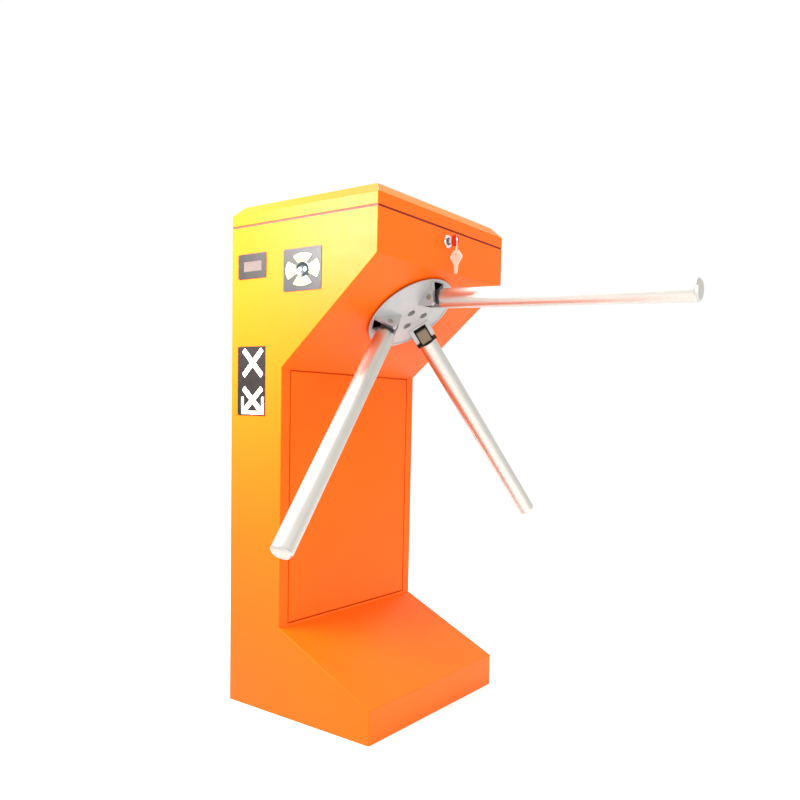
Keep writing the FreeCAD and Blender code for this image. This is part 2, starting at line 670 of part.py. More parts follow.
def make_lock_plug():
    front = "barrel_proud + plug_proud"
    outline = [("0", "-barrel_long - tail_long"), ("tail_round", "-barrel_long - tail_long"),
               ("tail_round", "-barrel_long"), ("plug_round", "-barrel_long"),
               ("plug_round", front), ("0", front)]
    body = turned_body("lock_plug", outline, LOCK)
    slot = centred("0", "0", "blade_thick + 2 * blade_play", "blade_tall + 2 * blade_play")
    depth = "blade_long - plug_proud - barrel_proud"
    cut(body, draw(body, "XY_Plane", front, [slot]), "2 * (%s) + 4 * plug_proud" % depth)


def make_inserted_key():
    """The key in the plug: a flat steel blade whose head is covered by a rounded plastic bow."""
    face = "barrel_proud + plug_proud"
    front = "%s + blade_out" % face
    depth = "blade_long - plug_proud - barrel_proud"
    blade = rectangle(("-blade_tall / 2", "%s - (%s)" % (face, depth)), ("blade_tall / 2", front))
    turned = FreeCAD.Placement(FreeCAD.Vector(), FreeCAD.Rotation(FreeCAD.Vector(0, 0, 1), 90))
    frame = LOCK.multiply(turned)
    key = new_body("inserted_key", frame)
    pad(key, draw(key, "XZ_Plane", "0", [blade]), "blade_thick", both=True)
    bow = new_body("key_bow", frame)
    cover = centred("0", "bow_centre", "bow_tall", "bow_wide")
    pad(bow, draw(bow, "XZ_Plane", "0", [cover]), "bow_thick", both=True)
    soften(bow, "bow_corner", lambda edge: lies_along(edge, 1))
    soften(bow, "bow_thick / 4", lambda edge: edge.BoundBox.YLength < 0.01)
    eye = ("bow_hole_z", "bow_centre + bow_hole_x", "bow_hole")
    cut(bow, draw(bow, "XZ_Plane", "0", [eye]), "2 * bow_thick")
    room = rectangle(("-blade_tall / 2 - bow_slot", "0"),
                     ("blade_tall / 2 + bow_slot", "%s + bow_slot" % front))
    cut(bow, draw(bow, "XZ_Plane", "0", [room]), "blade_thick + 2 * bow_slot")


def make_key_ring():
    """The split ring through the bow and the spare key that hangs from it."""
    eye_x = "depth / 2 + bow_centre + bow_hole_x"
    eye_z = "lock_height + bow_hole_z"
    ring = DOC.addObject("Part::Torus", "key_ring")
    bind(ring, "Radius1", "ring_round")
    bind(ring, "Radius2", "ring_wire")
    middle = FreeCAD.Vector(value(eye_x), value("lock_side"), value("%s - ring_round" % eye_z))
    skew = math.radians(value("ring_turn"))
    node(ring, "key_ring", FreeCAD.Placement(middle, aim((math.cos(skew), math.sin(skew), 0))))
    key = new_body("spare_key")
    eye = value("%s - 2 * ring_round" % eye_z)
    key.Placement = FreeCAD.Placement(FreeCAD.Vector(value(eye_x), value("lock_side"), eye),
                                      FreeCAD.Rotation())
    right = [("spare_top - 1", "spare_top"), ("spare_half", "-spare_shoulder + 1.5"),
             ("spare_half", "-spare_shoulder - 1.5"), ("spare_blade", "-spare_neck"),
             ("spare_blade - 1", "-spare_long + 4"), ("spare_blade - 3", "-spare_long")]
    left = [("-(%s)" % x, z) for x, z in reversed(right)]
    pad(key, draw(key, "XZ_Plane", "0", [right + left]), "spare_thick", both=True)
    soften(key, "spare_thick / 2", lambda edge: lies_along(edge, 1))
    cut(key, draw(key, "XZ_Plane", "0", [("0", "0", "spare_hole")]), "2 * spare_thick")


# displays and sign on the side wall

def side_plate(label, name, holes):
    """A thin black plate on the side wall, with a boss through the wall's cut-out."""
    body = new_body(label)
    x = from_back(name + "_x")
    z = name + "_z"
    plate = centred(x, z, name + "_long", name + "_tall")
    pad(body, draw(body, "XZ_Plane", "width / 2", [plate] + holes), "proud")
    soften(body, "corner_round", lambda edge: lies_along(edge, 1) and in_corner(edge, x, z, name))
    boss = centred(x, z, "%s_long - 2 * boss_margin - 1" % name, "%s_tall - 2 * boss_margin - 1" % name)
    pad(body, draw(body, "XZ_Plane", "width / 2 - boss_deep", [boss] + holes), "boss_deep")
    return body


def in_corner(edge, x, z, name):
    """Whether an edge is one of a side plate's four outer corners."""
    middle = edge.CenterOfMass
    wide = abs(abs(middle.x - value(x)) - value(name + "_long") / 2) < 0.01
    tall = abs(abs(middle.z - value(z)) - value(name + "_tall") / 2) < 0.01
    return wide and tall


def make_counter_display():
    opening = centred(from_back("window_x"), "window_z", "window_long", "window_tall")
    side_plate("display_bezel", "bezel", [opening])
    flat_body("display_window", "XZ_Plane", "width / 2 + proud - window_deep - window_thick",
              "window_thick", [opening])


def quadrant(angle):
    """One part of the oval light ring: an elliptic ring between the arms of a diagonal cross."""
    x = value("ring_long")
    z = value("ring_tall")
    core = value("ring_core")
    gap = math.radians(value("cross_half"))
    spread = math.radians(45) - gap
    middle = math.radians(angle)

    def point(scale, turn):
        return FreeCAD.Vector(scale * x * math.cos(turn), 0, scale * z * math.sin(turn))

    def arc(scale, start, end):
        half = (start + end) / 2
        ellipse = Part.Ellipse(FreeCAD.Vector(), scale * x, scale * z)
        ellipse.rotate(FreeCAD.Placement(FreeCAD.Vector(), FreeCAD.Rotation(FreeCAD.Vector(1, 0, 0), 90)))
        first = ellipse.parameter(point(scale, start))
        last = ellipse.parameter(point(scale, end))
        if last < first:
            last += 2 * math.pi
        trimmed = ellipse.toShape(first, last)
        middle_point = point(scale, half)
        return trimmed if trimmed.distToShape(Part.Vertex(middle_point))[0] < 1e-3 else None

    start = middle - spread
    end = middle + spread
    sides = [arc(1, start, end), Part.makeLine(point(1, end), point(core, end)),
             arc(core, start, end), Part.makeLine(point(core, start), point(1, start))]
    face = Part.Face(Part.Wire(Part.__sortEdges__(sides)))
    return face.extrude(FreeCAD.Vector(0, -value("ring_thick"), 0))


def make_light_ring():
    side_plate("indicator_plate", "dial", [])
    solids = [quadrant(angle) for angle in range(0, 360, 90)]
    ring = DOC.addObject("Part::Feature", "indicator_quadrants")
    ring.Shape = Part.makeCompound(solids)
    place = FreeCAD.Vector(value(from_back("ring_x")), value("-width / 2 - proud"), value("ring_z"))
    node(ring, "indicator_quadrants", FreeCAD.Placement(place, FreeCAD.Rotation()))
    lights = []
    for index, side in enumerate(("-light_x", "light_x")):
        start = (from_back("ring_x + %s" % side), "-width / 2 - proud", "ring_z")
        lights.append(rod("light_%d" % index, start, "light_round", "light_thick", (0, -1, 0)))
    group("indicator_lights", lights)


def make_display_board():
    """The circuit board behind both display plates, on spacers from the side wall."""
    low_y = "-width / 2 + wall"
    face = "%s + board_gap" % low_y
    start = from_back("board_start")
    end = from_back("board_end")
    parts = [box("board_sheet", (start, face, "board_low"),
                 (end, "%s + board_thick" % face, "board_high"))]
    corners = [(x, z) for x in ("%s + pcb_edge - 4" % start, "%s - pcb_edge + 4" % end)
               for z in ("board_low + 4", "board_high - 4")]
    for index, (x, z) in enumerate(corners):
        parts.append(rod("board_spacer_%d" % index, (x, low_y, z), "post_small - 1",
                         "board_gap", (0, 1, 0)))
    digits_low = (from_back("window_x - window_long / 2 + 3"), "-width / 2 + boss_deep + 0.5",
                  "window_z - window_tall / 2 + 1")
    digits_high = (from_back("window_x + window_long / 2 - 3"), face, "window_z + window_tall / 2 - 1")
    parts.append(box("digit_block", digits_low, digits_high))
    parts.append(rod("ring_leds", (from_back("ring_x"), "-width / 2 + boss_deep + 0.5", "ring_z"),
                     "ring_tall - 3", "board_gap + wall - boss_deep - 0.5", (0, 1, 0)))
    node(fuse("display_board", parts), "display_board")


def round_corners(item):
    """Round the four corners of a box on the sign's face."""
    DOC.recompute()
    radius = value("bar_corner")
    rounded = DOC.addObject("Part::Fillet", item.Name + "_rounded")
    rounded.Base = item
    rounded.Edges = [(index, radius, radius) for index, edge in enumerate(item.Shape.Edges, start=1)
                     if lies_along(edge, 1)]
    return rounded


def sign_bar(name, middle, long_z, run):
    """A bar with rounded corners, leaning one way by the run, on the sign's face."""
    body = DOC.addObject("Part::Box", name)
    length = math.hypot(value(long_z), value(run))
    bind(body, "Length", "bar_wide")
    bind(body, "Width", "bar_thick")
    body.Height = length
    lean = math.degrees(math.atan2(value(run), value(long_z)))
    turn = FreeCAD.Rotation(FreeCAD.Vector(0, 1, 0), lean)
    corner = turn.multVec(FreeCAD.Vector(-value("bar_wide") / 2, 0, -length / 2))
    body.Placement = FreeCAD.Placement(middle + corner, turn)
    return round_corners(body)


def make_sign():
    """The direction sign: a black plate with raised light bars, a cross above and one in a tray."""
    flat_body("sign_plate", "XZ_Plane", "width / 2", "proud",
              [centred(from_back("sign_x"), "sign_z", "sign_long", "sign_tall")])
    face = value("-width / 2 - proud - bar_thick")
    x = value(from_back("cross_x"))
    upper = []
    for name, run in (("rising", "cross_reach"), ("falling", "-cross_reach")):
        middle = FreeCAD.Vector(x, face, value("upper_cross"))
        upper.append(sign_bar("upper_" + name, middle, "cross_rise", run))
    lower = []
    for name, run in (("rising", "cross_reach"), ("falling", "-cross_reach")):
        middle = FreeCAD.Vector(x, face, value("lower_cross"))
        lower.append(sign_bar("lower_" + name, middle, "lower_rise", run))
    left = "cross_x - cross_reach / 2 - bar_wide / 2"
    right = "cross_x + cross_reach / 2 + bar_wide / 2"
    sides = {"left": (left, "%s + tray_wide" % left, "tray_high"),
             "right": ("%s - tray_wide" % right, right, "tray_high"),
             "floor": (left, right, "tray_low + tray_wide")}
    for name, (start, end, high) in sides.items():
        bar = box("tray_" + name, (from_back(start), "-width / 2 - proud - bar_thick", "tray_low"),
                  (from_back(end), "-width / 2 - proud", high))
        lower.append(round_corners(bar))
    group("sign_bars", [fuse("upper_mark", upper), fuse("lower_mark", lower)])


# rotor

def cheek_point(along, across):
    """A place in an arm's plane, from the pivot, as radius and height formulas."""
    radius = "pivot_radius + (%s) * sin(arm_angle) - (%s) * cos(arm_angle)" % (along, across)
    height = "pivot_height + (%s) * cos(arm_angle) + (%s) * sin(arm_angle)" % (along, across)
    return radius, height


def make_hub_disc():
    """The cast disc with a shallow dome, three pairs of cheeks and a spigot onto the shaft."""
    step = "disc_round - rim_band"
    outline = [("0", "-spigot_deep"), ("spigot_round", "-spigot_deep"), ("spigot_round", "disc_back"),
               ("disc_round", "disc_back"), ("disc_round", "rim_height - 1"),
               ("disc_round - 1", "rim_height"), (step, "rim_height"), (step, "rim_height - rim_step"),
               ("dome_flat", "dome_height"), ("0", "dome_height")]
    body = turned_body("hub_disc", outline, ROTOR)
    screw = ("screw_radius * cos(60)", "screw_radius * sin(60)")
    hole = cut(body, draw(body, "XY_Plane", "0", [screw + ("screw_round + screw_play",)]), "4 * dome_height")
    pocket = cut(body, draw(body, "XY_Plane", "dome_height", [screw + ("head_pocket",)]), "2 * dome_height")
    repeat(body, [hole, pocket], "3")
    foot = "dome_height - 4"
    toe = cheek_point("cheek_end", "0 - pivot_height")[0]
    cheek = [cheek_point("cheek_end", "cheek_rise - cheek_cut"),
             cheek_point("cheek_end - cheek_cut", "cheek_rise"), cheek_point("0 - cheek_back", "cheek_rise"),
             ("dome_flat - 3", foot), ("dome_flat + 20", "rim_height - 2"), (toe, "rim_height - 2")]
    block = pad(body, draw(body, "XZ_Plane", "0", [cheek]), "cheek_wide", both=True)
    slot = rectangle(("slot_inner", "-1"), ("slot_outer", "3 * pivot_height"))
    gap = cut(body, draw(body, "XZ_Plane", "0", [slot]), "cheek_gap")
    bore = ("pivot_radius", "pivot_height", "pin_round")
    eye = cut(body, draw(body, "XZ_Plane", "0", [bore]), "2 * cheek_wide")
    repeat(body, [block, gap, eye], "3")


def make_hub_screws():
    screws = []
    for index in range(3):
        angle = 60 + 120 * index
        x = "screw_radius * cos(%d)" % angle
        y = "screw_radius * sin(%d)" % angle
        shank = rod("hub_shank_%d" % index, (x, y, "-spigot_deep - flange_thick"), "screw_round",
                    "spigot_deep + flange_thick + 1")
        head = rod("hub_head_%d" % index, (x, y, "0"), "head_round", "head_tall")
        whole = fuse("hub_screw_%d_blank" % index, [shank, head])
        socket = DOC.addObject("Part::Prism", "hub_socket_%d" % index)
        socket.Polygon = 6
        bind(socket, "Circumradius", "socket_across / 2 / cos(30)")
        bind(socket, "Height", "socket_deep + 1")
        for axis, text in zip("xyz", (x, y, "head_tall - socket_deep")):
            bind(socket, "Placement.Base." + axis, text)
        screws.append(minus("hub_screw_%d" % index, whole, socket))
    group("hub_screws", screws, ROTOR)


def make_arm(number, angle):
    """One arm: a steel block on the pivot, a stainless tube over its plug, and an end cap."""
    frame = arm_frame(angle)
    prefix = "arm_%d_" % number
    tube = flat_body(prefix + "tube", "XY_Plane", "tube_start", "arm_end - cap_thick - tube_start",
                     [("0", "0", "tube_round"), ("0", "0", "tube_round - tube_wall")], frame)
    tube.Label = prefix + "tube"
    inner = "tube_round - tube_wall - plug_ease"
    cap = [("0", "arm_end - cap_thick - cap_plug"), (inner, "arm_end - cap_thick - cap_plug"),
           (inner, "arm_end - cap_thick"), ("tube_round", "arm_end - cap_thick"),
           ("tube_round", "arm_end - cap_bevel"), ("tube_round - cap_bevel", "arm_end"), ("0", "arm_end")]
    turned_body(prefix + "cap", cap, frame)
    block = new_body(prefix + "block", frame)
    bar = rectangle(("-bar_deep / 2", "-bar_back"), ("bar_deep / 2", "tube_start"))
    pad(block, draw(block, "YZ_Plane", "0", [bar]), "bar_side", both=True)
    soften(block, "bar_back / 2", lambda edge: lies_along(edge, 0) and edge.CenterOfMass.z < 0)
    pad(block, draw(block, "YZ_Plane", "0", [("0", "0", "boss_round")]), "boss_side", both=True)
    collar = draw(block, "XY_Plane", "collar_start", [centred("0", "0", "collar_side", "collar_deep")])
    pad(block, collar, "tube_start - collar_start")
    plug = draw(block, "XY_Plane", "tube_start", [("0", "0", inner)])
    pad(block, plug, "block_plug")
    eye = ("0", "0", "pin_round + pivot_play")
    cut(block, draw(block, "YZ_Plane", "0", [eye]), "2 * bar_side")


def make_arm_pins():
    """The three pivot pins, each with a shallow dimple in both ends."""
    pins = []
    half = "cheek_wide / 2 + pin_proud"
    for index, angle in enumerate(ARM_ANGLES):
        blank = rod("arm_pin_blank_%d" % index, ("-(%s)" % half, "0", "0"), "pin_round",
                    "2 * (%s)" % half, (1, 0, 0))
        dimples = [rod("pin_dimple_%d_%s" % (index, name), (start, "0", "0"), "dimple_round",
                       "2 * dimple_deep", (1, 0, 0))
                   for name, start in (("left", "-(%s) - dimple_deep" % half),
                                       ("right", "%s - dimple_deep" % half))]
        pin = minus("arm_pin_%d" % index, blank, fuse("pin_dimples_%d" % index, dimples))
        pin.Placement = arm_frame(angle)
        pins.append(pin)
    group("arm_pins", pins)


def make_main_shaft():
    journal = "bearing_inner - shaft_play"
    outline = [("0", "-spigot_deep"), ("flange_round", "-spigot_deep"),
               ("flange_round", "-spigot_deep - flange_thick"),
               ("collar_small", "-spigot_deep - flange_thick"), ("collar_small", "-bearing_front"),
               (journal, "-bearing_front"), (journal, "-journal_end"), ("seat_round", "-journal_end"),
               ("seat_round", "-seat_end"), ("thread_round", "-seat_end"),
               ("thread_round", "-thread_end"), ("spigot_small", "-thread_end"),
               ("spigot_small", "-shaft_end"), ("0", "-shaft_end")]
    body = turned_body("main_shaft", outline, ROTOR)
    hole = ("screw_radius * cos(60)", "screw_radius * sin(60)", "screw_round")
    tapped = cut(body, draw(body, "XY_Plane", "-spigot_deep", [hole]), "2 * flange_thick + 0.5")
    repeat(body, [tapped], "3")


def make_bearing_housing():
    seat = "bearing_outer"
    outline = [(seat, "-housing_front"), ("housing_nose", "-housing_front"),
               ("housing_nose", "-flange_front"), ("housing_flange", "-flange_front"),
               ("housing_flange", "-mech_front"), ("housing_rear", "-mech_front"),
               ("housing_rear", "-housing_end"), (seat, "-housing_end"),
               (seat, "-rear_bearing"), ("housing_neck", "-rear_bearing"),
               ("housing_neck", "-bearing_front - bearing_wide"),
               (seat, "-bearing_front - bearing_wide")]
    body = turned_body("bearing_housing", outline, ROTOR)
    hole = ("bolt_radius * cos(45)", "bolt_radius * sin(45)", "bolt_round + bolt_play")
    bolt = cut(body, draw(body, "XY_Plane", "-mech_front", [hole]), "4 * bolt_tall")
    repeat(body, [bolt], "4")


def make_shaft_bearings():
    """Two sealed ball bearings, each an inner race, an outer race and a ring of balls."""
    parts = []
    for name, front in (("front", "bearing_front"), ("rear", "rear_bearing")):
        back = "-%s - bearing_wide" % front
        for race, inner, outer in (("inner", "bearing_inner", "race_inner"),
                                   ("outer", "race_outer", "bearing_outer")):
            solid = rod("%s_%s_solid" % (name, race), ("0", "0", back), outer, "bearing_wide")
            bore = rod("%s_%s_bore" % (name, race), ("0", "0", "%s - 1" % back), inner, "bearing_wide + 2")
            parts.append(minus("%s_%s_race" % (name, race), solid, bore))
        for index in range(9):
            ball = DOC.addObject("Part::Sphere", "%s_ball_%d" % (name, index))
            bind(ball, "Radius", "ball_round")
            pitch = "(race_inner + race_outer) / 2"
            bind(ball, "Placement.Base.x", "%s * cos(%d)" % (pitch, 40 * index))
            bind(ball, "Placement.Base.y", "%s * sin(%d)" % (pitch, 40 * index))
            bind(ball, "Placement.Base.z", "%s + bearing_wide / 2" % back)
            parts.append(ball)
    group("shaft_bearings", parts, ROTOR)


def make_mech_plate():
    """The folded steel plate behind the slanting panel, welded to it by its two feet."""
    body = new_body("mech_plate", ROTOR)
    sheet = rectangle(("-mech_low", "-mech_half"), ("mech_high", "mech_half"))
    bolts = [("bolt_radius * cos(%d)" % angle, "bolt_radius * sin(%d)" % angle, "bolt_round + bolt_play")
             for angle in range(45, 360, 90)]
    thick = "mech_back - mech_front"
    pad(body, draw(body, "XY_Plane", "-mech_back", [sheet, ("0", "0", "mech_bore")] + bolts), thick)
    for side in (-1, 1):
        inner = "%d * (mech_half - wall * 2)" % side
        outer = "%d * mech_half" % side
        toe = "%d * (mech_half + mech_foot)" % side
        leg = rectangle(("-mech_low", inner), ("mech_high", outer))
        pad(body, draw(body, "XY_Plane", "-mech_back", [leg]), "mech_back - wall")
        foot = rectangle(("-mech_low", inner), ("mech_high", toe))
        pad(body, draw(body, "XY_Plane", "-3 * wall", [foot]), "2 * wall")


def make_machine_screws():
    screws = []
    for index in range(4):
        angle = 45 + 90 * index
        x = "bolt_radius * cos(%d)" % angle
        y = "bolt_radius * sin(%d)" % angle
        shank = rod("machine_shank_%d" % index, (x, y, "-mech_back - 2"), "bolt_round",
                    "mech_back - flange_front + 3")
        head = rod("machine_head_%d" % index, (x, y, "-flange_front"), "bolt_head", "bolt_tall")
        screws.append(fuse("machine_screw_%d" % index, [shank, head]))
    group("machine_screws", screws, ROTOR)


def gear_solid(teeth, back, front):
    """A spur gear with involute teeth between two heights."""
    builder = fcgear.FCWireBuilder()
    involute.CreateExternalGear(builder, value("gear_module"), teeth, value("pressure_angle"), True)
    wire = Part.Wire([edge.toShape() for edge in builder.wire])
    face = Part.Face(wire)
    face.translate(FreeCAD.Vector(0, 0, back))
    return face.extrude(FreeCAD.Vector(0, 0, front - back))


def make_drive_gear():
    seat = value("seat_round + seat_ease")
    boss = value("gear_boss")
    front = -value("gear_front")
    back = -value("gear_back")
    low = -value("boss_back")
    high = -value("journal_end")
    teeth = gear_solid(int(value("gear_teeth")), back, front)
    centre = FreeCAD.Vector(0, 0, low)
    solid = teeth.fuse(Part.makeCylinder(boss, high - low, centre))
    bore = Part.makeCylinder(seat, high - low + 2, centre - FreeCAD.Vector(0, 0, 1))
    gear = DOC.addObject("Part::Feature", "drive_gear")
    gear.Shape = solid.cut(bore).removeSplitter()
    node(gear, "drive_gear", ROTOR)


def pinion_distance():
    """The distance between the drive gear's axis and the pinion's."""
    return value("gear_module * (gear_teeth + pinion_teeth) / 2 + mesh_ease")


def make_damper():
    """The rotary damper: a pinion on a stub shaft in a sealed body."""
    distance = pinion_distance()
    teeth = int(value("pinion_teeth"))
    gear = gear_solid(teeth, -value("gear_back"), -value("gear_front"))
    gear.rotate(FreeCAD.Vector(), FreeCAD.Vector(0, 0, 1), 180 / teeth)
    floor = -value("damper_floor") - 1
    shaft = Part.makeCylinder(value("pinion_shaft"), floor + value("gear_back"),
                              FreeCAD.Vector(0, 0, -value("gear_back")))
    pinion = DOC.addObject("Part::Feature", "damper_pinion")
    pinion.Shape = gear.fuse(shaft).removeSplitter()
    frame = ROTOR.multiply(FreeCAD.Placement(FreeCAD.Vector(distance, 0, 0), FreeCAD.Rotation()))
    node(pinion, "damper_pinion", frame)
    bore = "pinion_shaft + shaft_play"
    outline = [(bore, "-damper_back"), ("damper_round", "-damper_back"), ("damper_round", "-mech_back"),
               ("0", "-mech_back"), ("0", "-damper_floor"), (bore, "-damper_floor")]
    turned_body("damper_body", outline, frame)


def make_lock_wheel():
    body = flat_body("lock_wheel", "XY_Plane", "-seat_end", "seat_end - wheel_front",
                     [("0", "0", "wheel_round"), ("0", "0", "seat_round + seat_ease")], ROTOR)
    notch = rectangle(("-notch_half", "notch_floor"), ("notch_half", "wheel_round + 2"))
    tooth = cut(body, draw(body, "XY_Plane", "-seat_end", [notch]), "4 * (seat_end - wheel_front)")
    repeat(body, [tooth], "wheel_notches")


def make_shaft_nut():
    flat_body("shaft_nut", "XY_Plane", "-shaft_nut_end", "shaft_nut_end - seat_end",
              [hexagon("shaft_nut_across"), ("0", "0", "thread_round + seat_ease")], ROTOR)


def make_position_disc():
    body = flat_body("position_disc", "XY_Plane", "-disc_rear", "disc_rear - disc_front",
                     [("0", "0", "disc_edge"), ("0", "0", "spigot_small + seat_ease")], ROTOR)
    slot = rectangle(("slot_start", "-slot_half"), ("slot_end", "slot_half"))
    window = cut(body, draw(body, "XY_Plane", "-disc_rear", [slot]), "8 * (disc_rear - disc_front)")
    repeat(body, [window], "disc_slots")


def make_position_sensor():
    """The forked light barrier that reads the slotted disc, on its own post."""
    jaws = [("upper", "jaw_upper", "jaw_top"), ("lower", "jaw_bottom", "jaw_lower")]
    parts = [box("sensor_post", ("-sensor_back", "-sensor_half", "-jaw_bottom"),
                 ("-sensor_post", "sensor_half", "-mech_back"))]
    for name, low, high in jaws:
        parts.append(box("sensor_jaw_" + name, ("-sensor_back", "-sensor_half", "-" + low),
                         ("-sensor_tip", "sensor_half", "-" + high)))
    node(fuse("position_sensor", parts), "position_sensor", ROTOR)


# locking pawls; each side is +1 or -1 along the rotor frame's Y

def pawl_outline(side):
    """The pawl's outline from nose to tail."""
    flip = "%d * " % side
    top = flip + "pawl_top"
    under = flip + "pawl_under"
    tail_top = flip + "(pawl_y + tail_half)"
    tail_under = flip + "(pawl_y - tail_half)"
    nose = flip + "pawl_nose"
    return [("-tail_end", tail_under), ("-pawl_x - pawl_eye / 2", tail_under),
            ("-pawl_x + pawl_eye / 2", tail_under), ("-pawl_x + 2 * pawl_eye", under),
            ("-nose_left", under), ("-nose_left", nose), ("nose_right", nose), ("nose_right", top),
            ("-pawl_x + pawl_eye / 2", top), ("-pawl_x - pawl_eye", tail_top), ("-tail_end", tail_top)]


def make_pawl(label, side):
    body = new_body(label, ROTOR)
    pad(body, draw(body, "XY_Plane", "-seat_end", [pawl_outline(side)]), "seat_end - wheel_front")
    pivot = ("-pawl_x", "%d * pawl_y" % side)
    eye = draw(body, "XY_Plane", "-seat_end", [pivot + ("pawl_eye",)])
    pad(body, eye, "seat_end - wheel_front")
    cut(body, draw(body, "XY_Plane", "-seat_end", [pivot + ("pawl_bore",)]), "4 * (seat_end - wheel_front)")
    link = centred("-tail_x", "%d * pawl_y" % side, "2 * (link_round + link_run)",
                   "2 * (link_round + link_play)")
    cut(body, draw(body, "XY_Plane", "-seat_end", [link]), "4 * (seat_end - wheel_front)")


def make_pawl_pivots():
    outline = [("0", "-mech_back"), ("0", "-post_head"), ("post_round", "-post_head"),
               ("post_round", "-seat_end - post_gap"), ("pawl_pin", "-seat_end - post_gap"),
               ("pawl_pin", "-wheel_front + post_gap"), ("post_round", "-wheel_front + post_gap"),
               ("post_round", "-mech_back")]
    points = [FreeCAD.Vector(value(x), 0, value(z)) for x, z in outline]
    face = Part.Face(Part.makePolygon(points + points[:1]))
    post = face.revolve(FreeCAD.Vector(), FreeCAD.Vector(0, 0, 1), 360)
    pair = []
    for side in (-1, 1):
        copy = post.copy()
        copy.translate(FreeCAD.Vector(value("-pawl_x"), side * value("pawl_y"), 0))
        pair.append(copy)
    posts = DOC.addObject("Part::Feature", "pawl_pivots")
    posts.Shape = Part.makeCompound(pair)
    node(posts, "pawl_pivots", ROTOR)


def along_side(side, low, high):
    """Two formulas along Y, in rising order, for one side of the rotor."""
    first = "%d * (%s)" % (side, low)
    last = "%d * (%s)" % (side, high)
    return (first, last) if side > 0 else (last, first)


def make_plunger(label, side):
    """A solenoid's plunger: a fork and cross pin on the pawl's tail, and a rod into the coil."""
    left = "-tail_x - fork_half"
    right = "-tail_x + fork_half"
    outer_low = "-seat_end - post_gap - fork_plate"
    outer_high = "-wheel_front + post_gap + fork_plate"
    fork_start, fork_end = along_side(side, "fork_low", "fork_top")
    bridge_start, bridge_end = along_side(side, "fork_bridge", "fork_top")
    parts = [
        box(label + "_rear_plate", (left, fork_start, outer_low),
            (right, fork_end, "%s + fork_plate" % outer_low)),
        box(label + "_front_plate", (left, fork_start, "%s - fork_plate" % outer_high),
            (right, fork_end, outer_high)),
        box(label + "_bridge", (left, bridge_start, outer_low), (right, bridge_end, outer_high)),
        rod(label + "_pin", ("-tail_x", "%d * pawl_y" % side, outer_low), "link_round",
            "%s - (%s)" % (outer_high, outer_low)),
        rod(label + "_rod", ("-tail_x", "%d * (fork_top - 1)" % side, "-(seat_end + wheel_front) / 2"),
            "rod_round", "rod_end - fork_top + 1", (0, side, 0)),
    ]
    node(fuse(label, parts), label, ROTOR)


def make_solenoids():
    """The two solenoids, each a coil case on a two-legged frame."""
    pair = []
    for name, side in (("near", 1), ("far", -1)):
        left = "-tail_x - coil_half"
        right = "-tail_x + coil_half"
        start, end = along_side(side, "coil_low", "coil_high")
        case = box("coil_case_" + name, (left, start, "-coil_back"), (right, end, "-coil_front"))
        legs = [
            box("coil_leg_low_" + name, (left, start, "-coil_back"),
                ("%s + leg_thick" % left, end, "-mech_back")),
            box("coil_leg_high_" + name, ("%s - leg_thick" % right, start, "-coil_back"),
                (right, end, "-mech_back")),
        ]
        bore = rod("coil_bore_" + name, ("-tail_x", "%d * (coil_low - 1)" % side,
                                         "-(seat_end + wheel_front) / 2"),
                   "rod_round + rod_play", "coil_high - coil_low + 2", (0, side, 0))
        pair.append(minus("solenoid_" + name, fuse("coil_frame_" + name, [case] + legs), bore))
    group("solenoids", pair, ROTOR)


# electronics in the column

def make_control_board():
    wall_face = from_back("wall")
    face = "%s + pcb_out" % wall_face
    top = "%s + board_thick" % face
    parts = [box("pcb_sheet", (face, "pcb_left", "pcb_low"), (top, "pcb_right", "pcb_high"))]
    for index, (y, z) in enumerate((y, z) for y in ("pcb_left + pcb_edge", "pcb_right - pcb_edge")
                                   for z in ("pcb_low + pcb_edge", "pcb_high - pcb_edge")):
        parts.append(rod("pcb_post_%d" % index, (wall_face, y, z), "post_small", "pcb_out", (1, 0, 0)))
    chip_y = "pcb_left + 50"
    chip_z = "(pcb_low + pcb_high) / 2"
    parts.append(box("main_chip", (top, chip_y, chip_z),
                     ("%s + chip_tall" % top, "%s + chip_side" % chip_y, "%s + chip_side" % chip_z)))
    for index in range(4):
        start = "pcb_right - 2 * pcb_edge - (%d + 1) * relay_pitch" % index
        parts.append(box("relay_%d" % index, (top, start, "pcb_low + 20"),
                         ("%s + relay_tall" % top, "%s + relay_wide" % start, "pcb_low + 20 + relay_long")))
    for name, low in (("lower", "pcb_low"), ("upper", "pcb_high - terminal_wide")):
        parts.append(box("terminals_" + name, (top, "pcb_left + 2 * pcb_edge", low),
                         ("%s + terminal_tall" % top, "pcb_right - 2 * pcb_edge",
                          "%s + terminal_wide" % low)))
    node(fuse("control_board", parts), "control_board")


def make_power_supply():
    back = from_back("wall")
    case = box("supply_case", (back, "-supply_half", "supply_low"),
               ("%s + supply_deep" % back, "supply_half", "supply_high"))
    step = box("supply_recess",
               ("%s + supply_step" % back, "-supply_half - 1", "supply_high - supply_ledge"),
               ("%s + supply_deep + 1" % back, "supply_half + 1", "supply_high + 1"))
    strip = box("supply_terminals",
                ("%s + supply_step - 1" % back, "-supply_half + 8", "supply_high - 16"),
                ("%s + supply_step + 10" % back, "supply_half - 8", "supply_high - 4"))
    node(fuse("power_supply", [minus("supply_body", case, step), strip]), "power_supply")


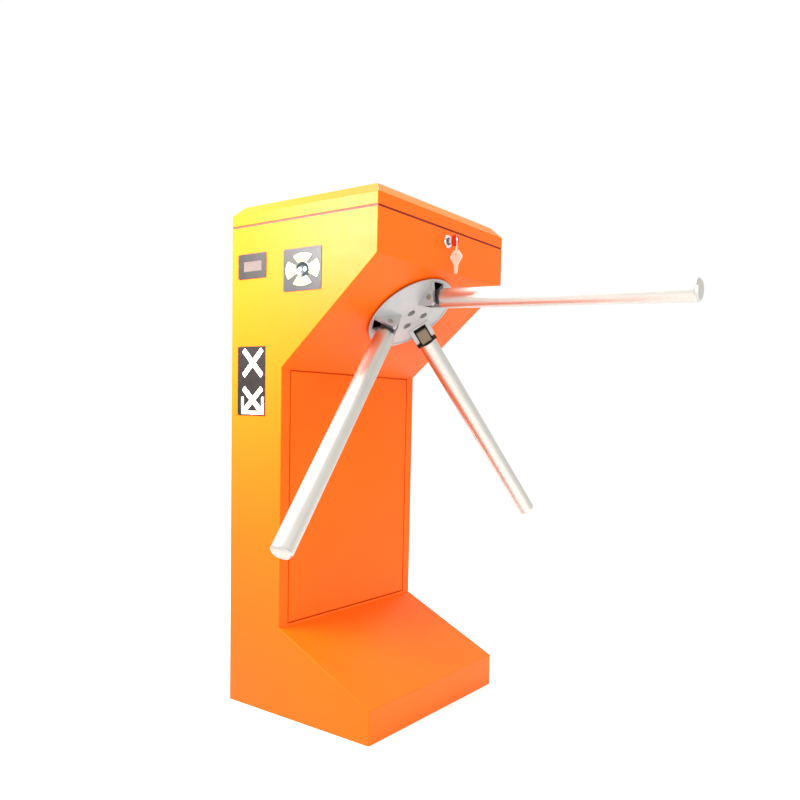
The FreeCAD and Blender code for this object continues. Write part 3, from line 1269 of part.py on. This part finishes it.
def rounded_path(points, radius):
    """A wire through points, with each inner corner replaced by a tangent arc."""
    edges = []
    start = points[0]
    for before, corner, after in zip(points, points[1:], points[2:]):
        inward = (before - corner).normalize()
        outward = (after - corner).normalize()
        half = inward.getAngle(outward) / 2
        run = radius / math.tan(half)
        middle = (inward + outward).normalize()
        nearest = corner + middle * (radius / math.sin(half) - radius)
        first = corner + inward * run
        last = corner + outward * run
        edges.append(Part.LineSegment(start, first).toShape())
        edges.append(Part.Arc(first, nearest, last).toShape())
        start = last
    edges.append(Part.LineSegment(start, points[-1]).toShape())
    return Part.Wire(edges)


def make_wiring_loom():
    """The cable from the control board's upper terminals to the display board."""
    wall_x = value(from_back("wall + pcb_out + board_thick + terminal_tall / 2"))
    board_y = value("-width / 2 + wall + board_gap + board_thick")
    side_y = value("pcb_left + 2 * pcb_edge + 12")
    top = value("pcb_high")
    points = [FreeCAD.Vector(wall_x, side_y, top),
              FreeCAD.Vector(wall_x, side_y, top + 90),
              FreeCAD.Vector(wall_x + 20, board_y + 40, top + 190),
              FreeCAD.Vector(wall_x + 45, board_y + 40, value("board_low + 30")),
              FreeCAD.Vector(wall_x + 45, board_y, value("board_low + 30"))]
    path = rounded_path(points, value("loom_bend"))
    section = Part.Wire(Part.makeCircle(value("loom_round"), points[0], points[1] - points[0]))
    loom = DOC.addObject("Part::Feature", "wiring_loom")
    loom.Shape = path.makePipeShell([section], True, False)
    node(loom, "wiring_loom")


def check_and_export():
    """Stop on any failed object or bad shape, then write one STEP file for each sub-part."""
    DOC.recompute()
    failed = [item.Label for item in DOC.Objects if "Invalid" in item.State or "Error" in item.State]
    if failed:
        raise ValueError("failed objects: %s" % failed)
    for item in NODES:
        if item.Shape.isNull() or not item.Shape.isValid() or not item.Shape.Solids:
            raise ValueError("bad shape: %s" % item.Label)
    os.makedirs("parts", exist_ok=True)
    for item in NODES:
        item.Shape.exportStep("parts/%s.step" % item.Label)
    print("%d sub-parts written" % len(NODES))


fill_sheet()
ROTOR = rotor_frame()
LOCK = lock_frame()
ARM_ANGLES = (0, 120, -120)

make_cabinet_body()
make_base_plate()
make_cable_grommet()
make_top_lid()
make_lid_gasket()
make_hinges()
make_service_panel()
make_panel_fixings()
make_lock()
make_key_ring()
make_counter_display()
make_light_ring()
make_display_board()
make_sign()
make_hub_disc()
make_hub_screws()
for count, direction in enumerate(ARM_ANGLES, start=1):
    make_arm(count, direction)
make_arm_pins()
make_main_shaft()
make_bearing_housing()
make_shaft_bearings()
make_mech_plate()
make_machine_screws()
make_drive_gear()
make_damper()
make_lock_wheel()
make_shaft_nut()
make_position_disc()
make_position_sensor()
make_pawl("entry_pawl", 1)
make_pawl("exit_pawl", -1)
make_pawl_pivots()
make_plunger("entry_plunger", 1)
make_plunger("exit_plunger", -1)
make_solenoids()
make_control_board()
make_power_supply()
make_wiring_loom()
check_and_export()
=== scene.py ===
import json
import math

import bmesh
import bpy
from mathutils import Matrix, Vector


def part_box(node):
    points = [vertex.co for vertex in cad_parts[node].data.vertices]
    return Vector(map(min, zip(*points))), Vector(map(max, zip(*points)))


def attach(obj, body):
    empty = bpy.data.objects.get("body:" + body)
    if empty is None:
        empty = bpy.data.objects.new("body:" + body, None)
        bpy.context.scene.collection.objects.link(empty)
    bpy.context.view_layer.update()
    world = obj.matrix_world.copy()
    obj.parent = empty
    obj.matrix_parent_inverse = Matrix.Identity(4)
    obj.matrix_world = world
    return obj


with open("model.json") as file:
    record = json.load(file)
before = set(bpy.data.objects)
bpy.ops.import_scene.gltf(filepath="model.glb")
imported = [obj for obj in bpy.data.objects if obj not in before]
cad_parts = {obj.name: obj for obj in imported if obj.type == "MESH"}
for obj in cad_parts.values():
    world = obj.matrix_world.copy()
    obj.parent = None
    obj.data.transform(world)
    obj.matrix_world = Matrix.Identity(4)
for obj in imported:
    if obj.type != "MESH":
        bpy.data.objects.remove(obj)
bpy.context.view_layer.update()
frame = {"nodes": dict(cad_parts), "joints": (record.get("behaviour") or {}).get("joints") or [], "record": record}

# Looks of a visitor counter turnstile: materials for the CAD nodes, the small pieces that the CAD
# leaves plain, and a pale studio. Metres, in the frame's own axes.

MM = 0.001
JOINTS = {joint["name"]: joint for joint in frame["joints"]}


# frames read from the joints

def joint_place(name):
    return Vector(JOINTS[name]["pos_m"])


def joint_axis(name):
    return Vector(JOINTS[name]["axis"]).normalized()


def frame_matrix(origin, x_axis, y_axis, z_axis):
    """A 4x4 matrix from an origin and three axes."""
    matrix = Matrix((x_axis, y_axis, z_axis)).transposed().to_4x4()
    matrix.translation = origin
    return matrix


ROTOR_AXIS = joint_axis("hub_spin")
ROTOR = frame_matrix(joint_place("hub_spin"), Vector((0, -1, 0)).cross(ROTOR_AXIS),
                     Vector((0, -1, 0)), ROTOR_AXIS)
ARM_LEAN = math.radians(48.4)


def arm_matrix(number):
    """An arm's frame: origin on its pivot, X along the pivot pin, Z along the arm."""
    tangent = -joint_axis("arm_%d_drop" % number)
    radial = tangent.cross(ROTOR_AXIS)
    along = radial * math.sin(ARM_LEAN) + ROTOR_AXIS * math.cos(ARM_LEAN)
    place = joint_place("arm_%d_drop" % number)
    return frame_matrix(place, tangent, along.cross(tangent), along)


ARMS = {number: arm_matrix(number) for number in (1, 2, 3)}


# shader graphs

class Graph:
    """A material whose nodes are added one call at a time."""

    def __init__(self, name):
        self.material = bpy.data.materials.new(name)
        self.material.use_nodes = True
        self.tree = self.material.node_tree
        self.shader = self.tree.nodes["Principled BSDF"]
        self.coords = self.tree.nodes.new("ShaderNodeTexCoord").outputs["Object"]

    def set(self, **values):
        """Set constants on the shader's own sockets; underscores stand for spaces."""
        for key, value in values.items():
            socket = self.shader.inputs[key.replace("_", " ")]
            socket.default_value = (*value, 1.0) if isinstance(value, tuple) else value
        return self

    def node(self, kind, settings=None, **inputs):
        """Add a node; inputs are constants or other nodes' outputs."""
        item = self.tree.nodes.new("ShaderNode" + kind)
        for key, value in (settings or {}).items():
            setattr(item, key, value)
        for key, value in inputs.items():
            self.feed(item.inputs[socket_name(item, key)], value)
        return item

    def feed(self, socket, value):
        """Give a socket a constant or a link."""
        if isinstance(value, bpy.types.NodeSocket):
            self.tree.links.new(value, socket)
        else:
            socket.default_value = value

    def mapped(self, scale, place=(0, 0, 0), turn=(0, 0, 0)):
        """Coordinates in a frame at a place and turn, stretched by a scale."""
        local = self.node("Mapping", {"vector_type": "TEXTURE"}, Vector=self.coords,
                          Location=place, Rotation=turn)
        return self.node("Mapping", Vector=local.outputs[0], Scale=scale).outputs[0]

    def noise(self, scale, detail=2.0, rough=0.5, vector=None):
        """A noise value from 0 to 1."""
        return self.node("TexNoise", Vector=vector or self.coords, Scale=scale, Detail=detail,
                         Roughness=rough).outputs["Fac"]

    def ramp(self, factor, stops):
        """A colour ramp over stops of (place, colour)."""
        item = self.node("ValToRGB", Fac=factor)
        band = item.color_ramp
        while len(band.elements) < len(stops):
            band.elements.new(0.5)
        for element, (place, colour) in zip(band.elements, stops):
            element.position = place
            element.color = (*colour, 1.0) if isinstance(colour, tuple) else (colour,) * 3 + (1.0,)
        return item.outputs["Color"]

    def math(self, operation, first, second=0.0):
        """A math node's value."""
        item = self.node("Math", {"operation": operation})
        self.feed(item.inputs[0], first)
        self.feed(item.inputs[1], second)
        return item.outputs[0]

    def bump(self, height, strength, distance, below=None):
        """A bump normal from a height, optionally on top of another bump."""
        item = self.node("Bump", Height=height, Strength=strength, Distance=distance)
        if below is not None:
            self.tree.links.new(below, item.inputs["Normal"])
        return item.outputs["Normal"]

    def finish(self, colour=None, roughness=None, normal=None, metallic=None):
        """Link the shader's varying inputs and give back the material."""
        links = (("Base Color", colour), ("Roughness", roughness), ("Normal", normal),
                 ("Metallic", metallic))
        for key, value in links:
            if value is not None:
                self.tree.links.new(value, self.shader.inputs[key])
        return self.material


def socket_name(item, key):
    """A node's input name from a keyword with underscores."""
    name = key.replace("_", " ")
    return name if name in item.inputs else key


def powder_coat(name, base, gloss=0.34):
    """Powder coat: even colour with faint drift, and the fine dimples of orange peel."""
    graph = Graph(name)
    drift = graph.noise(2.2, 3.0, 0.6)
    fleck = graph.noise(1400.0, 1.0)
    mixed = graph.math("ADD", graph.math("MULTIPLY", drift, 0.8), graph.math("MULTIPLY", fleck, 0.2))
    darker = tuple(part * 0.92 for part in base)
    colour = graph.ramp(mixed, [(0.3, darker), (0.7, base)])
    peel = graph.noise(520.0, 2.0, 0.45)
    waves = graph.noise(90.0, 2.0, 0.5)
    normal = graph.bump(peel, 0.22, 0.00016, graph.bump(waves, 0.10, 0.0004))
    rough = graph.ramp(graph.noise(35.0, 4.0, 0.6), [(0.3, gloss - 0.03), (0.7, gloss + 0.05)])
    graph.set(Specular_IOR_Level=0.2, Specular_Tint=(1.0, 0.55, 0.28))
    return graph.finish(colour, rough, normal)


def brushed_metal(name, base, matrix, rough=0.27, streak=1.0, metal=1.0):
    """Metal with fine grain that runs along the matrix's Z axis."""
    graph = Graph(name)
    place = matrix.translation
    turn = matrix.to_euler()
    fine = graph.noise(1.0, 3.0, 0.7, graph.mapped((2600, 2600, 14), place, turn))
    long = graph.noise(1.0, 2.0, 0.5, graph.mapped((420, 420, 3), place, turn))
    smudge = graph.noise(16.0, 3.0, 0.6)
    shade = graph.math("ADD", graph.math("MULTIPLY", long, 0.6), graph.math("MULTIPLY", smudge, 0.4))
    darker = tuple(part * 0.88 for part in base)
    colour = graph.ramp(shade, [(0.3, darker), (0.65, base)])
    rough_value = graph.ramp(fine, [(0.2, rough - 0.05), (0.8, rough + 0.09)])
    normal = graph.bump(fine, 0.10 * streak, 0.00006, graph.bump(long, 0.05 * streak, 0.0001))
    graph.set(Metallic=metal)
    return graph.finish(colour, rough_value, normal)


def turned_metal(name, base, matrix, rough=0.25, rings=1500.0):
    """Turned metal: fine rings round the matrix's Z axis."""
    graph = Graph(name)
    local = graph.mapped((1, 1, 1), matrix.translation, matrix.to_euler())
    parts = graph.node("SeparateXYZ", Vector=local)
    across = graph.node("CombineXYZ", X=parts.outputs["X"], Y=parts.outputs["Y"], Z=0.0)
    radius = graph.node("VectorMath", {"operation": "LENGTH"}, Vector=across.outputs[0])
    rings_at = graph.node("CombineXYZ", X=radius.outputs["Value"], Y=0.0, Z=parts.outputs["Z"])
    grooves = graph.noise(rings, 2.0, 0.6, rings_at.outputs[0])
    stain = graph.noise(60.0, 4.0, 0.6)
    darker = tuple(part * 0.8 for part in base)
    colour = graph.ramp(stain, [(0.3, darker), (0.65, base)])
    rough_value = graph.ramp(grooves, [(0.3, rough - 0.06), (0.7, rough + 0.1)])
    graph.set(Metallic=1.0)
    return graph.finish(colour, rough_value, graph.bump(grooves, 0.12, 0.00005))


def plated_steel(name, base=(0.60, 0.60, 0.58)):
    """Zinc-plated sheet: mottled spangle and slight scratches."""
    graph = Graph(name)
    spangle = graph.node("TexVoronoi", Vector=graph.coords, Scale=160.0).outputs["Color"]
    grey = graph.node("RGBToBW", Color=spangle).outputs[0]
    darker = tuple(part * 0.82 for part in base)
    colour = graph.ramp(grey, [(0.2, darker), (0.8, base)])
    rough = graph.ramp(graph.noise(180.0, 3.0), [(0.3, 0.30), (0.7, 0.42)])
    graph.set(Metallic=0.95)
    return graph.finish(colour, rough, graph.bump(graph.noise(700.0, 2.0), 0.08, 0.00008))


def cast_finish(name, base, rough=0.38, metal=0.1):
    """A sprayed pale coat over a casting: soft lumps under a fine grain."""
    graph = Graph(name)
    lumps = graph.noise(45.0, 3.0, 0.55)
    grain = graph.noise(900.0, 2.0, 0.6)
    darker = tuple(part * 0.93 for part in base)
    colour = graph.ramp(lumps, [(0.3, darker), (0.65, base)])
    rough_value = graph.ramp(grain, [(0.3, rough - 0.05), (0.7, rough + 0.07)])
    normal = graph.bump(grain, 0.14, 0.0001, graph.bump(lumps, 0.10, 0.0005))
    graph.set(Metallic=metal, Specular_IOR_Level=0.5)
    return graph.finish(colour, rough_value, normal)


def moulded(name, base, rough=0.4, grain=800.0, depth=0.0001, vary=0.85, coat=0.0):
    """Moulded plastic or rubber with a fine texture."""
    graph = Graph(name)
    cloud = graph.noise(28.0, 3.0, 0.6)
    darker = tuple(part * vary for part in base)
    colour = graph.ramp(cloud, [(0.3, darker), (0.7, base)])
    fine = graph.noise(grain, 2.0, 0.6)
    rough_value = graph.ramp(graph.noise(120.0, 3.0, 0.6), [(0.3, rough - 0.04), (0.7, rough + 0.06)])
    graph.set(Coat_Weight=coat, Coat_Roughness=0.06, Specular_IOR_Level=0.3)
    return graph.finish(colour, rough_value, graph.bump(fine, 0.15, depth))


def polished_chrome(name, base=(0.82, 0.82, 0.84)):
    """Chrome with faint polishing haze."""
    graph = Graph(name)
    haze = graph.noise(240.0, 3.0, 0.6)
    colour = graph.ramp(haze, [(0.3, tuple(part * 0.94 for part in base)), (0.7, base)])
    rough = graph.ramp(haze, [(0.3, 0.06), (0.7, 0.13)])
    graph.set(Metallic=1.0)
    return graph.finish(colour, rough, graph.bump(graph.noise(500.0, 2.0), 0.03, 0.00004))


def circuit_board(name):
    """Green solder mask with faint tracks."""
    graph = Graph(name)
    tracks = graph.node("TexBrick", Vector=graph.mapped((1, 1, 1), turn=(math.pi / 2, 0, 0)),
                        Scale=90.0, Mortar_Size=0.03).outputs["Fac"]
    colour = graph.ramp(tracks, [(0.0, (0.012, 0.10, 0.04)), (1.0, (0.05, 0.22, 0.08))])
    rough = graph.ramp(graph.noise(300.0, 2.0), [(0.3, 0.28), (0.7, 0.38)])
    graph.set(Coat_Weight=0.3, Coat_Roughness=0.15)
    return graph.finish(colour, rough, graph.bump(tracks, 0.2, 0.00008))


def lit_segment(name, centre, half_wide, half_tall):
    """Lime lens: bright near the outer edge, darker near the centre, with fine dots."""
    graph = Graph(name)
    local = graph.node("Mapping", {"vector_type": "TEXTURE"}, Vector=graph.coords, Location=centre,
                       Scale=(half_wide, 1.0, half_tall)).outputs[0]
    parts = graph.node("SeparateXYZ", Vector=local)
    flat = graph.node("CombineXYZ", X=parts.outputs["X"], Y=0.0, Z=parts.outputs["Z"])
    radius = graph.node("VectorMath", {"operation": "LENGTH"}, Vector=flat.outputs[0])
    dots = graph.node("TexVoronoi", Vector=graph.coords, Scale=420.0).outputs["Distance"]
    shade = graph.math("SUBTRACT", radius.outputs["Value"], graph.math("MULTIPLY", dots, 0.18))
    stops = [(0.38, (0.10, 0.16, 0.012)), (0.60, (0.22, 0.34, 0.03)), (0.90, (0.62, 0.78, 0.15))]
    colour = graph.ramp(shade, stops)
    graph.tree.links.new(colour, graph.shader.inputs["Emission Color"])
    graph.set(Emission_Strength=0.25, Coat_Weight=0.3, Coat_Roughness=0.1)
    rough = graph.ramp(graph.noise(200.0, 2.0), [(0.3, 0.28), (0.7, 0.36)])
    return graph.finish(colour, rough, graph.bump(dots, 0.3, 0.0002))


def glowing_lens(name, base, glow):
    """A small frosted lens that glows."""
    graph = Graph(name)
    frost = graph.noise(900.0, 2.0)
    colour = graph.ramp(frost, [(0.3, tuple(part * 0.85 for part in base)), (0.7, base)])
    graph.tree.links.new(colour, graph.shader.inputs["Emission Color"])
    graph.set(Emission_Strength=glow, Roughness=0.3)
    return graph.finish(colour, None, graph.bump(frost, 0.2, 0.0001))


ORANGE = (0.98, 0.128, 0.004)
STEEL = (0.56, 0.53, 0.48)
STAINLESS = (0.62, 0.60, 0.55)

MATERIALS = {
    "cabinet_paint": powder_coat("cabinet_powder_coat", ORANGE),
    "plated_steel": plated_steel("zinc_plate"),
    "machined_steel": brushed_metal("machined_steel", STEEL, ROTOR, 0.30),
    "bearing_steel": polished_chrome("bearing_steel"),
    "cast_housing": cast_finish("aluminium_casting", (0.50, 0.51, 0.52), 0.42, 0.8),
    "black_nylon": moulded("black_nylon", (0.012, 0.012, 0.012), 0.42),
    "rubber_seal": moulded("seal_rubber", (0.020, 0.014, 0.012), 0.62, 1200.0, 0.00012),
    "lock_chrome": polished_chrome("lock_chrome"),
    "dark_plug": moulded("plug_lacquer", (0.012, 0.02, 0.06), 0.22, 600.0, 0.00003, 0.8, 0.6),
    "key_steel": brushed_metal("key_nickel", (0.86, 0.80, 0.66), Matrix.Identity(4), 0.32, 1.0, 0.35),
    "red_plastic": moulded("red_key_cover", (0.62, 0.018, 0.008), 0.28, 700.0, 0.00005, 0.85, 0.4),
    "black_plate": moulded("black_display_plate", (0.010, 0.006, 0.005), 0.38, 500.0, 0.00003, 0.8),
    "display_lens": moulded("smoked_window", (0.115, 0.085, 0.075), 0.20, 400.0, 0.00003, 0.85, 0.5),
    "circuit_board": circuit_board("circuit_board"),
    "light_lens": glowing_lens("light_lens", (0.45, 0.78, 0.95), 1.6),
    "sign_white": moulded("sign_white", (0.62, 0.59, 0.53), 0.40, 600.0, 0.00008, 0.93),
    "rotor_finish": cast_finish("rotor_coat", (0.42, 0.425, 0.42)),
    "dark_screws": turned_metal("black_oxide_screw", (0.05, 0.045, 0.04), ROTOR, 0.40),
    "coil_case": moulded("coil_tape", (0.03, 0.03, 0.035), 0.5, 300.0, 0.0002),
    "cable_jacket": moulded("cable_sleeve", (0.03, 0.03, 0.03), 0.5, 900.0, 0.0002),
}

SLOT_OF = {part["node"]: part["material_slot"] for part in frame["record"]["subparts"]}


def set_material(item, material):
    """Give an object one material."""
    item.data.materials.clear()
    item.data.materials.append(material)


for node_name, item in frame["nodes"].items():
    if SLOT_OF[node_name] in MATERIALS:
        set_material(item, MATERIALS[SLOT_OF[node_name]])
for number, matrix in ARMS.items():
    tube_metal = brushed_metal("arm_%d_stainless" % number, STAINLESS, matrix, 0.36)
    set_material(frame["nodes"]["arm_%d_tube" % number], tube_metal)
    cap_metal = turned_metal("arm_%d_turned_cap" % number, STAINLESS, matrix, 0.28)
    set_material(frame["nodes"]["arm_%d_cap" % number], cap_metal)
    block_metal = brushed_metal("arm_%d_block_steel" % number, (0.20, 0.155, 0.105), matrix, 0.34)
    set_material(frame["nodes"]["arm_%d_block" % number], block_metal)
set_material(frame["nodes"]["arm_pins"], plated_steel("pin_steel", (0.46, 0.42, 0.34)))
# The lid gasket's dark red is painted shade: it stands for the shadowed seam under the lid, darkened and tinted
# red by the orange walls around it.
set_material(frame["nodes"]["lid_gasket"], moulded("gasket_painted_seam_shadow", (0.20, 0.016, 0.004), 0.55))


# mesh helpers

def new_object(name, mesh, body, material):
    """Link a mesh as a piece that rides on a body."""
    piece = bpy.data.objects.new(name, mesh)
    bpy.context.scene.collection.objects.link(piece)
    set_material(piece, material)
    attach(piece, body)
    return piece


def lathe(name, outline, matrix, body, material, steps=64):
    """A closed (radius, height) outline turned about the matrix's Z axis."""
    build = bmesh.new()
    rings = []
    for step in range(steps):
        angle = 2 * math.pi * step / steps
        spot = (math.cos(angle), math.sin(angle))
        rings.append([build.verts.new((radius * spot[0], radius * spot[1], height))
                      for radius, height in outline])
    count = len(outline)
    for step in range(steps):
        near, far = rings[step], rings[(step + 1) % steps]
        for index in range(count):
            after = (index + 1) % count
            build.faces.new((near[index], far[index], far[after], near[after]))
    bmesh.ops.recalc_face_normals(build, faces=build.faces)
    build.transform(matrix)
    mesh = bpy.data.meshes.new(name)
    build.to_mesh(mesh)
    build.free()
    shade_by_angle(mesh)
    return new_object(name, mesh, body, material)


def shade_by_angle(mesh, degrees=35):
    """Smooth shading with sharp edges where faces meet at a wide angle."""
    for face in mesh.polygons:
        face.use_smooth = True
    mesh.set_sharp_from_angle(angle=math.radians(degrees))


def ring_outline(inner, outer, low, high, bevel):
    """A rectangular ring section with bevelled outer corners."""
    return [(inner, low), (outer - bevel, low), (outer, low + bevel), (outer, high - bevel),
            (outer - bevel, high), (inner, high)]


def rounded_block(name, low, high, edge, matrix, body, material):
    """A box between two corners in a matrix's frame, with all edges rounded."""
    build = bmesh.new()
    bmesh.ops.create_cube(build, size=1.0)
    for vert in build.verts:
        share = vert.co + Vector((0.5, 0.5, 0.5))
        vert.co = Vector([start + (end - start) * part for start, end, part in zip(low, high, share)])
    bmesh.ops.bevel(build, geom=build.edges[:], offset=edge, segments=3, profile=0.5, affect="EDGES")
    build.transform(matrix)
    mesh = bpy.data.meshes.new(name)
    build.to_mesh(mesh)
    build.free()
    shade_by_angle(mesh, 40)
    return new_object(name, mesh, body, material)


# arms: black nylon buffer plates between the blocks and the tubes, and washers beside the blocks

SIDEWAYS = Matrix.Rotation(math.pi / 2, 4, "Y")
for number, matrix in ARMS.items():
    rider = "arm_%d" % number
    low = Vector((-21.9, -13.4, 16.1)) * MM
    high = Vector((21.9, 13.4, 19.0)) * MM
    rounded_block(rider + "_buffer_plate", low, high, 0.6 * MM, matrix, rider,
                  MATERIALS["black_nylon"])
    for side in (-1, 1):
        washer = ring_outline(5.7 * MM, 11.4 * MM, 10.8 * MM, 13.2 * MM, 0.3 * MM)
        turned = [(radius, side * height) for radius, height in washer]
        lathe("%s_washer_%d" % (rider, (side + 1) // 2), turned, matrix @ SIDEWAYS, rider,
              MATERIALS["black_nylon"], 48)


# rotor disc: raised lips round the three screw pockets

def local_shift(x, y, z):
    """A place in the rotor's frame, in millimetres, as a matrix."""
    return ROTOR @ Matrix.Translation(Vector((x, y, z)) * MM)


for index in range(3):
    angle = math.radians(60 + 120 * index)
    place = local_shift(22 * math.cos(angle), 22 * math.sin(angle), 17)
    lip = [(8.0 * MM, -1.0 * MM), (9.9 * MM, -0.2 * MM), (9.5 * MM, 0.35 * MM),
           (8.7 * MM, 0.55 * MM), (8.0 * MM, 0.3 * MM)]
    lathe("screw_pocket_lip_%d" % index, lip, place, "hub",
          MATERIALS["rotor_finish"], 40)


# light ring: four domed segments with pale rims, and the dark hub between them

PLATE_LOW, PLATE_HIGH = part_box("indicator_plate")
RING_LOW, RING_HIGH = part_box("indicator_quadrants")
RING_CENTRE = (RING_LOW + RING_HIGH) / 2
RING_WIDE = (RING_HIGH.x - RING_LOW.x) / 2
RING_TALL = (RING_HIGH.z - RING_LOW.z) / 2
RING_FACE = PLATE_LOW.y
RING_CORE = 0.44
SPREAD = math.radians(33)


def segment_point(angle, scale, rise):
    """A point on the light ring, with a height in front of the plate."""
    x = RING_CENTRE.x + RING_WIDE * scale * math.cos(angle)
    z = RING_CENTRE.z + RING_TALL * scale * math.sin(angle)
    return Vector((x, RING_FACE - rise, z))


def segment_mesh(name, middle, inset, rim_rise, lens_rise, lens):
    """One segment: a flat rim frame, or the lens inside it."""
    across, out = 28, 10
    build = bmesh.new()
    start = inset if lens else 0.0
    rows = []
    for i in range(across + 1):
        u = -1 + 2 * i / across
        row = []
        for j in range(out + 1):
            v = j / out
            scale = RING_CORE + start + (1 - RING_CORE - 2 * start) * v
            spread = SPREAD - start * 0.8 / max(scale, 0.3)
            dome = math.sin(math.pi * v) * (1 - u ** 4)
            rise = lens_rise + 0.25 * MM * dome if lens else rim_rise
            row.append(build.verts.new(segment_point(middle + spread * u, scale, rise)))
        rows.append(row)
    for i in range(across):
        for j in range(out):
            build.faces.new((rows[i][j], rows[i + 1][j], rows[i + 1][j + 1], rows[i][j + 1]))
    border = [edge for edge in build.edges if edge.is_boundary]
    skirt = bmesh.ops.extrude_edge_only(build, edges=border)["geom"]
    for item in skirt:
        if isinstance(item, bmesh.types.BMVert):
            item.co.y = RING_FACE + 0.2 * MM
    bmesh.ops.recalc_face_normals(build, faces=build.faces)
    mesh = bpy.data.meshes.new(name)
    build.to_mesh(mesh)
    build.free()
    shade_by_angle(mesh)
    return mesh


rim_material = moulded("segment_rim", (0.52, 0.62, 0.22), 0.32, 500.0, 0.00004, 0.9, 0.3)
lens_material = lit_segment("lime_segment", RING_CENTRE, RING_WIDE, RING_TALL)
set_material(frame["nodes"]["indicator_quadrants"], rim_material)
segments = []
for index in range(4):
    middle = math.pi / 2 * index
    mesh = segment_mesh("lime_lens_%d" % index, middle, 0.055, 0, 0.95 * MM, True)
    segments.append(new_object("lime_lens_%d" % index, mesh, "cabinet", lens_material))

hub_place = Matrix.Translation(Vector((RING_CENTRE.x, RING_FACE, RING_CENTRE.z)))
hub_turn = Matrix.Rotation(math.pi / 2, 4, "X") @ Matrix.Diagonal((1.0, 0.78, 1.0, 1.0))
core = RING_WIDE * RING_CORE
cup = [(core * 0.98, -0.1 * MM), (core * 0.98, 0.5 * MM), (core * 0.93, 0.9 * MM),
       (core * 0.82, 0.9 * MM), (core * 0.76, 0.35 * MM), (core * 0.4, 0.22 * MM),
       (0.02 * core, 0.2 * MM), (0.02 * core, -0.1 * MM)]
cup_material = moulded("light_cup", (0.010, 0.016, 0.020), 0.18, 500.0, 0.00003, 0.8, 0.5)
lathe("light_cup", cup, hub_place @ hub_turn, "cabinet", cup_material)


# the studio

def area_light(name, place, target, size, energy, spread=180):
    """A soft rectangular light aimed at a target."""
    light = bpy.data.lights.new(name, "AREA")
    light.shape = "RECTANGLE"
    light.size, light.size_y = size
    light.energy = energy
    light.spread = math.radians(spread)
    item = bpy.data.objects.new(name, light)
    item.location = place
    item.visible_camera = False
    aim = Vector(target) - Vector(place)
    item.rotation_euler = aim.to_track_quat("-Z", "Y").to_euler()
    bpy.context.scene.collection.objects.link(item)
    return item


def make_floor():
    """A pale floor."""
    mesh = bpy.data.meshes.new("floor")
    half = 14.0
    corners = [(-half, -half, 0), (half, -half, 0), (half, half, 0), (-half, half, 0)]
    mesh.from_pydata(corners, [], [(0, 1, 2, 3)])
    floor = bpy.data.objects.new("floor", mesh)
    bpy.context.scene.collection.objects.link(floor)
    graph = Graph("pale_floor")
    colour = graph.ramp(graph.noise(3.0, 3.0), [(0.3, 0.91), (0.7, 0.93)])
    graph.set(Roughness=0.8, Specular_IOR_Level=0.1, Emission_Color=(1.0, 1.0, 1.0),
              Emission_Strength=0.14)
    set_material(floor, graph.finish(colour))


def make_world():
    """Even white surroundings."""
    world = bpy.data.worlds.new("studio")
    world.use_nodes = True
    background = world.node_tree.nodes["Background"]
    background.inputs["Color"].default_value = (1.0, 1.0, 1.0, 1.0)
    background.inputs["Strength"].default_value = 1.02
    bpy.context.scene.world = world


def make_camera():
    """The camera: turned round the object, tilted and rolled slightly, with a small shift."""
    turn, tilt, roll = (math.radians(angle) for angle in (33.83, 3.78, 1.51))
    back = Vector((math.sin(turn) * math.cos(tilt), -math.cos(turn) * math.cos(tilt), math.sin(tilt)))
    right = Vector((math.cos(turn), math.sin(turn), 0))
    up = back.cross(right)
    rolled_right = right * math.cos(roll) + up * math.sin(roll)
    rolled_up = up * math.cos(roll) - right * math.sin(roll)
    data = bpy.data.cameras.new("camera")
    data.lens = 34.45
    data.sensor_width = 36.0
    data.shift_x = -0.083
    data.shift_y = 0.078
    camera = bpy.data.objects.new("camera", data)
    place = Vector((1.0491, -1.2015, 0.5934))
    camera.matrix_world = frame_matrix(place, rolled_right, rolled_up, back)
    bpy.context.scene.collection.objects.link(camera)
    bpy.context.scene.camera = camera


make_floor()
make_world()
make_camera()
area_light("key", (-0.38, -0.90, 1.15), (-0.10, -0.2, 0.82), (0.5, 0.4), 11, 85)
area_light("front_fill", (2.3, -0.9, 0.9), (0.0, 0, 0.60), (1.2, 1.4), 13)
area_light("overhead", (0.05, -0.10, 1.85), (0.05, 0, 0.95), (0.9, 0.9), 24)
bpy.context.scene.view_settings.view_transform = "Standard"
bpy.context.scene.view_settings.look = "None"
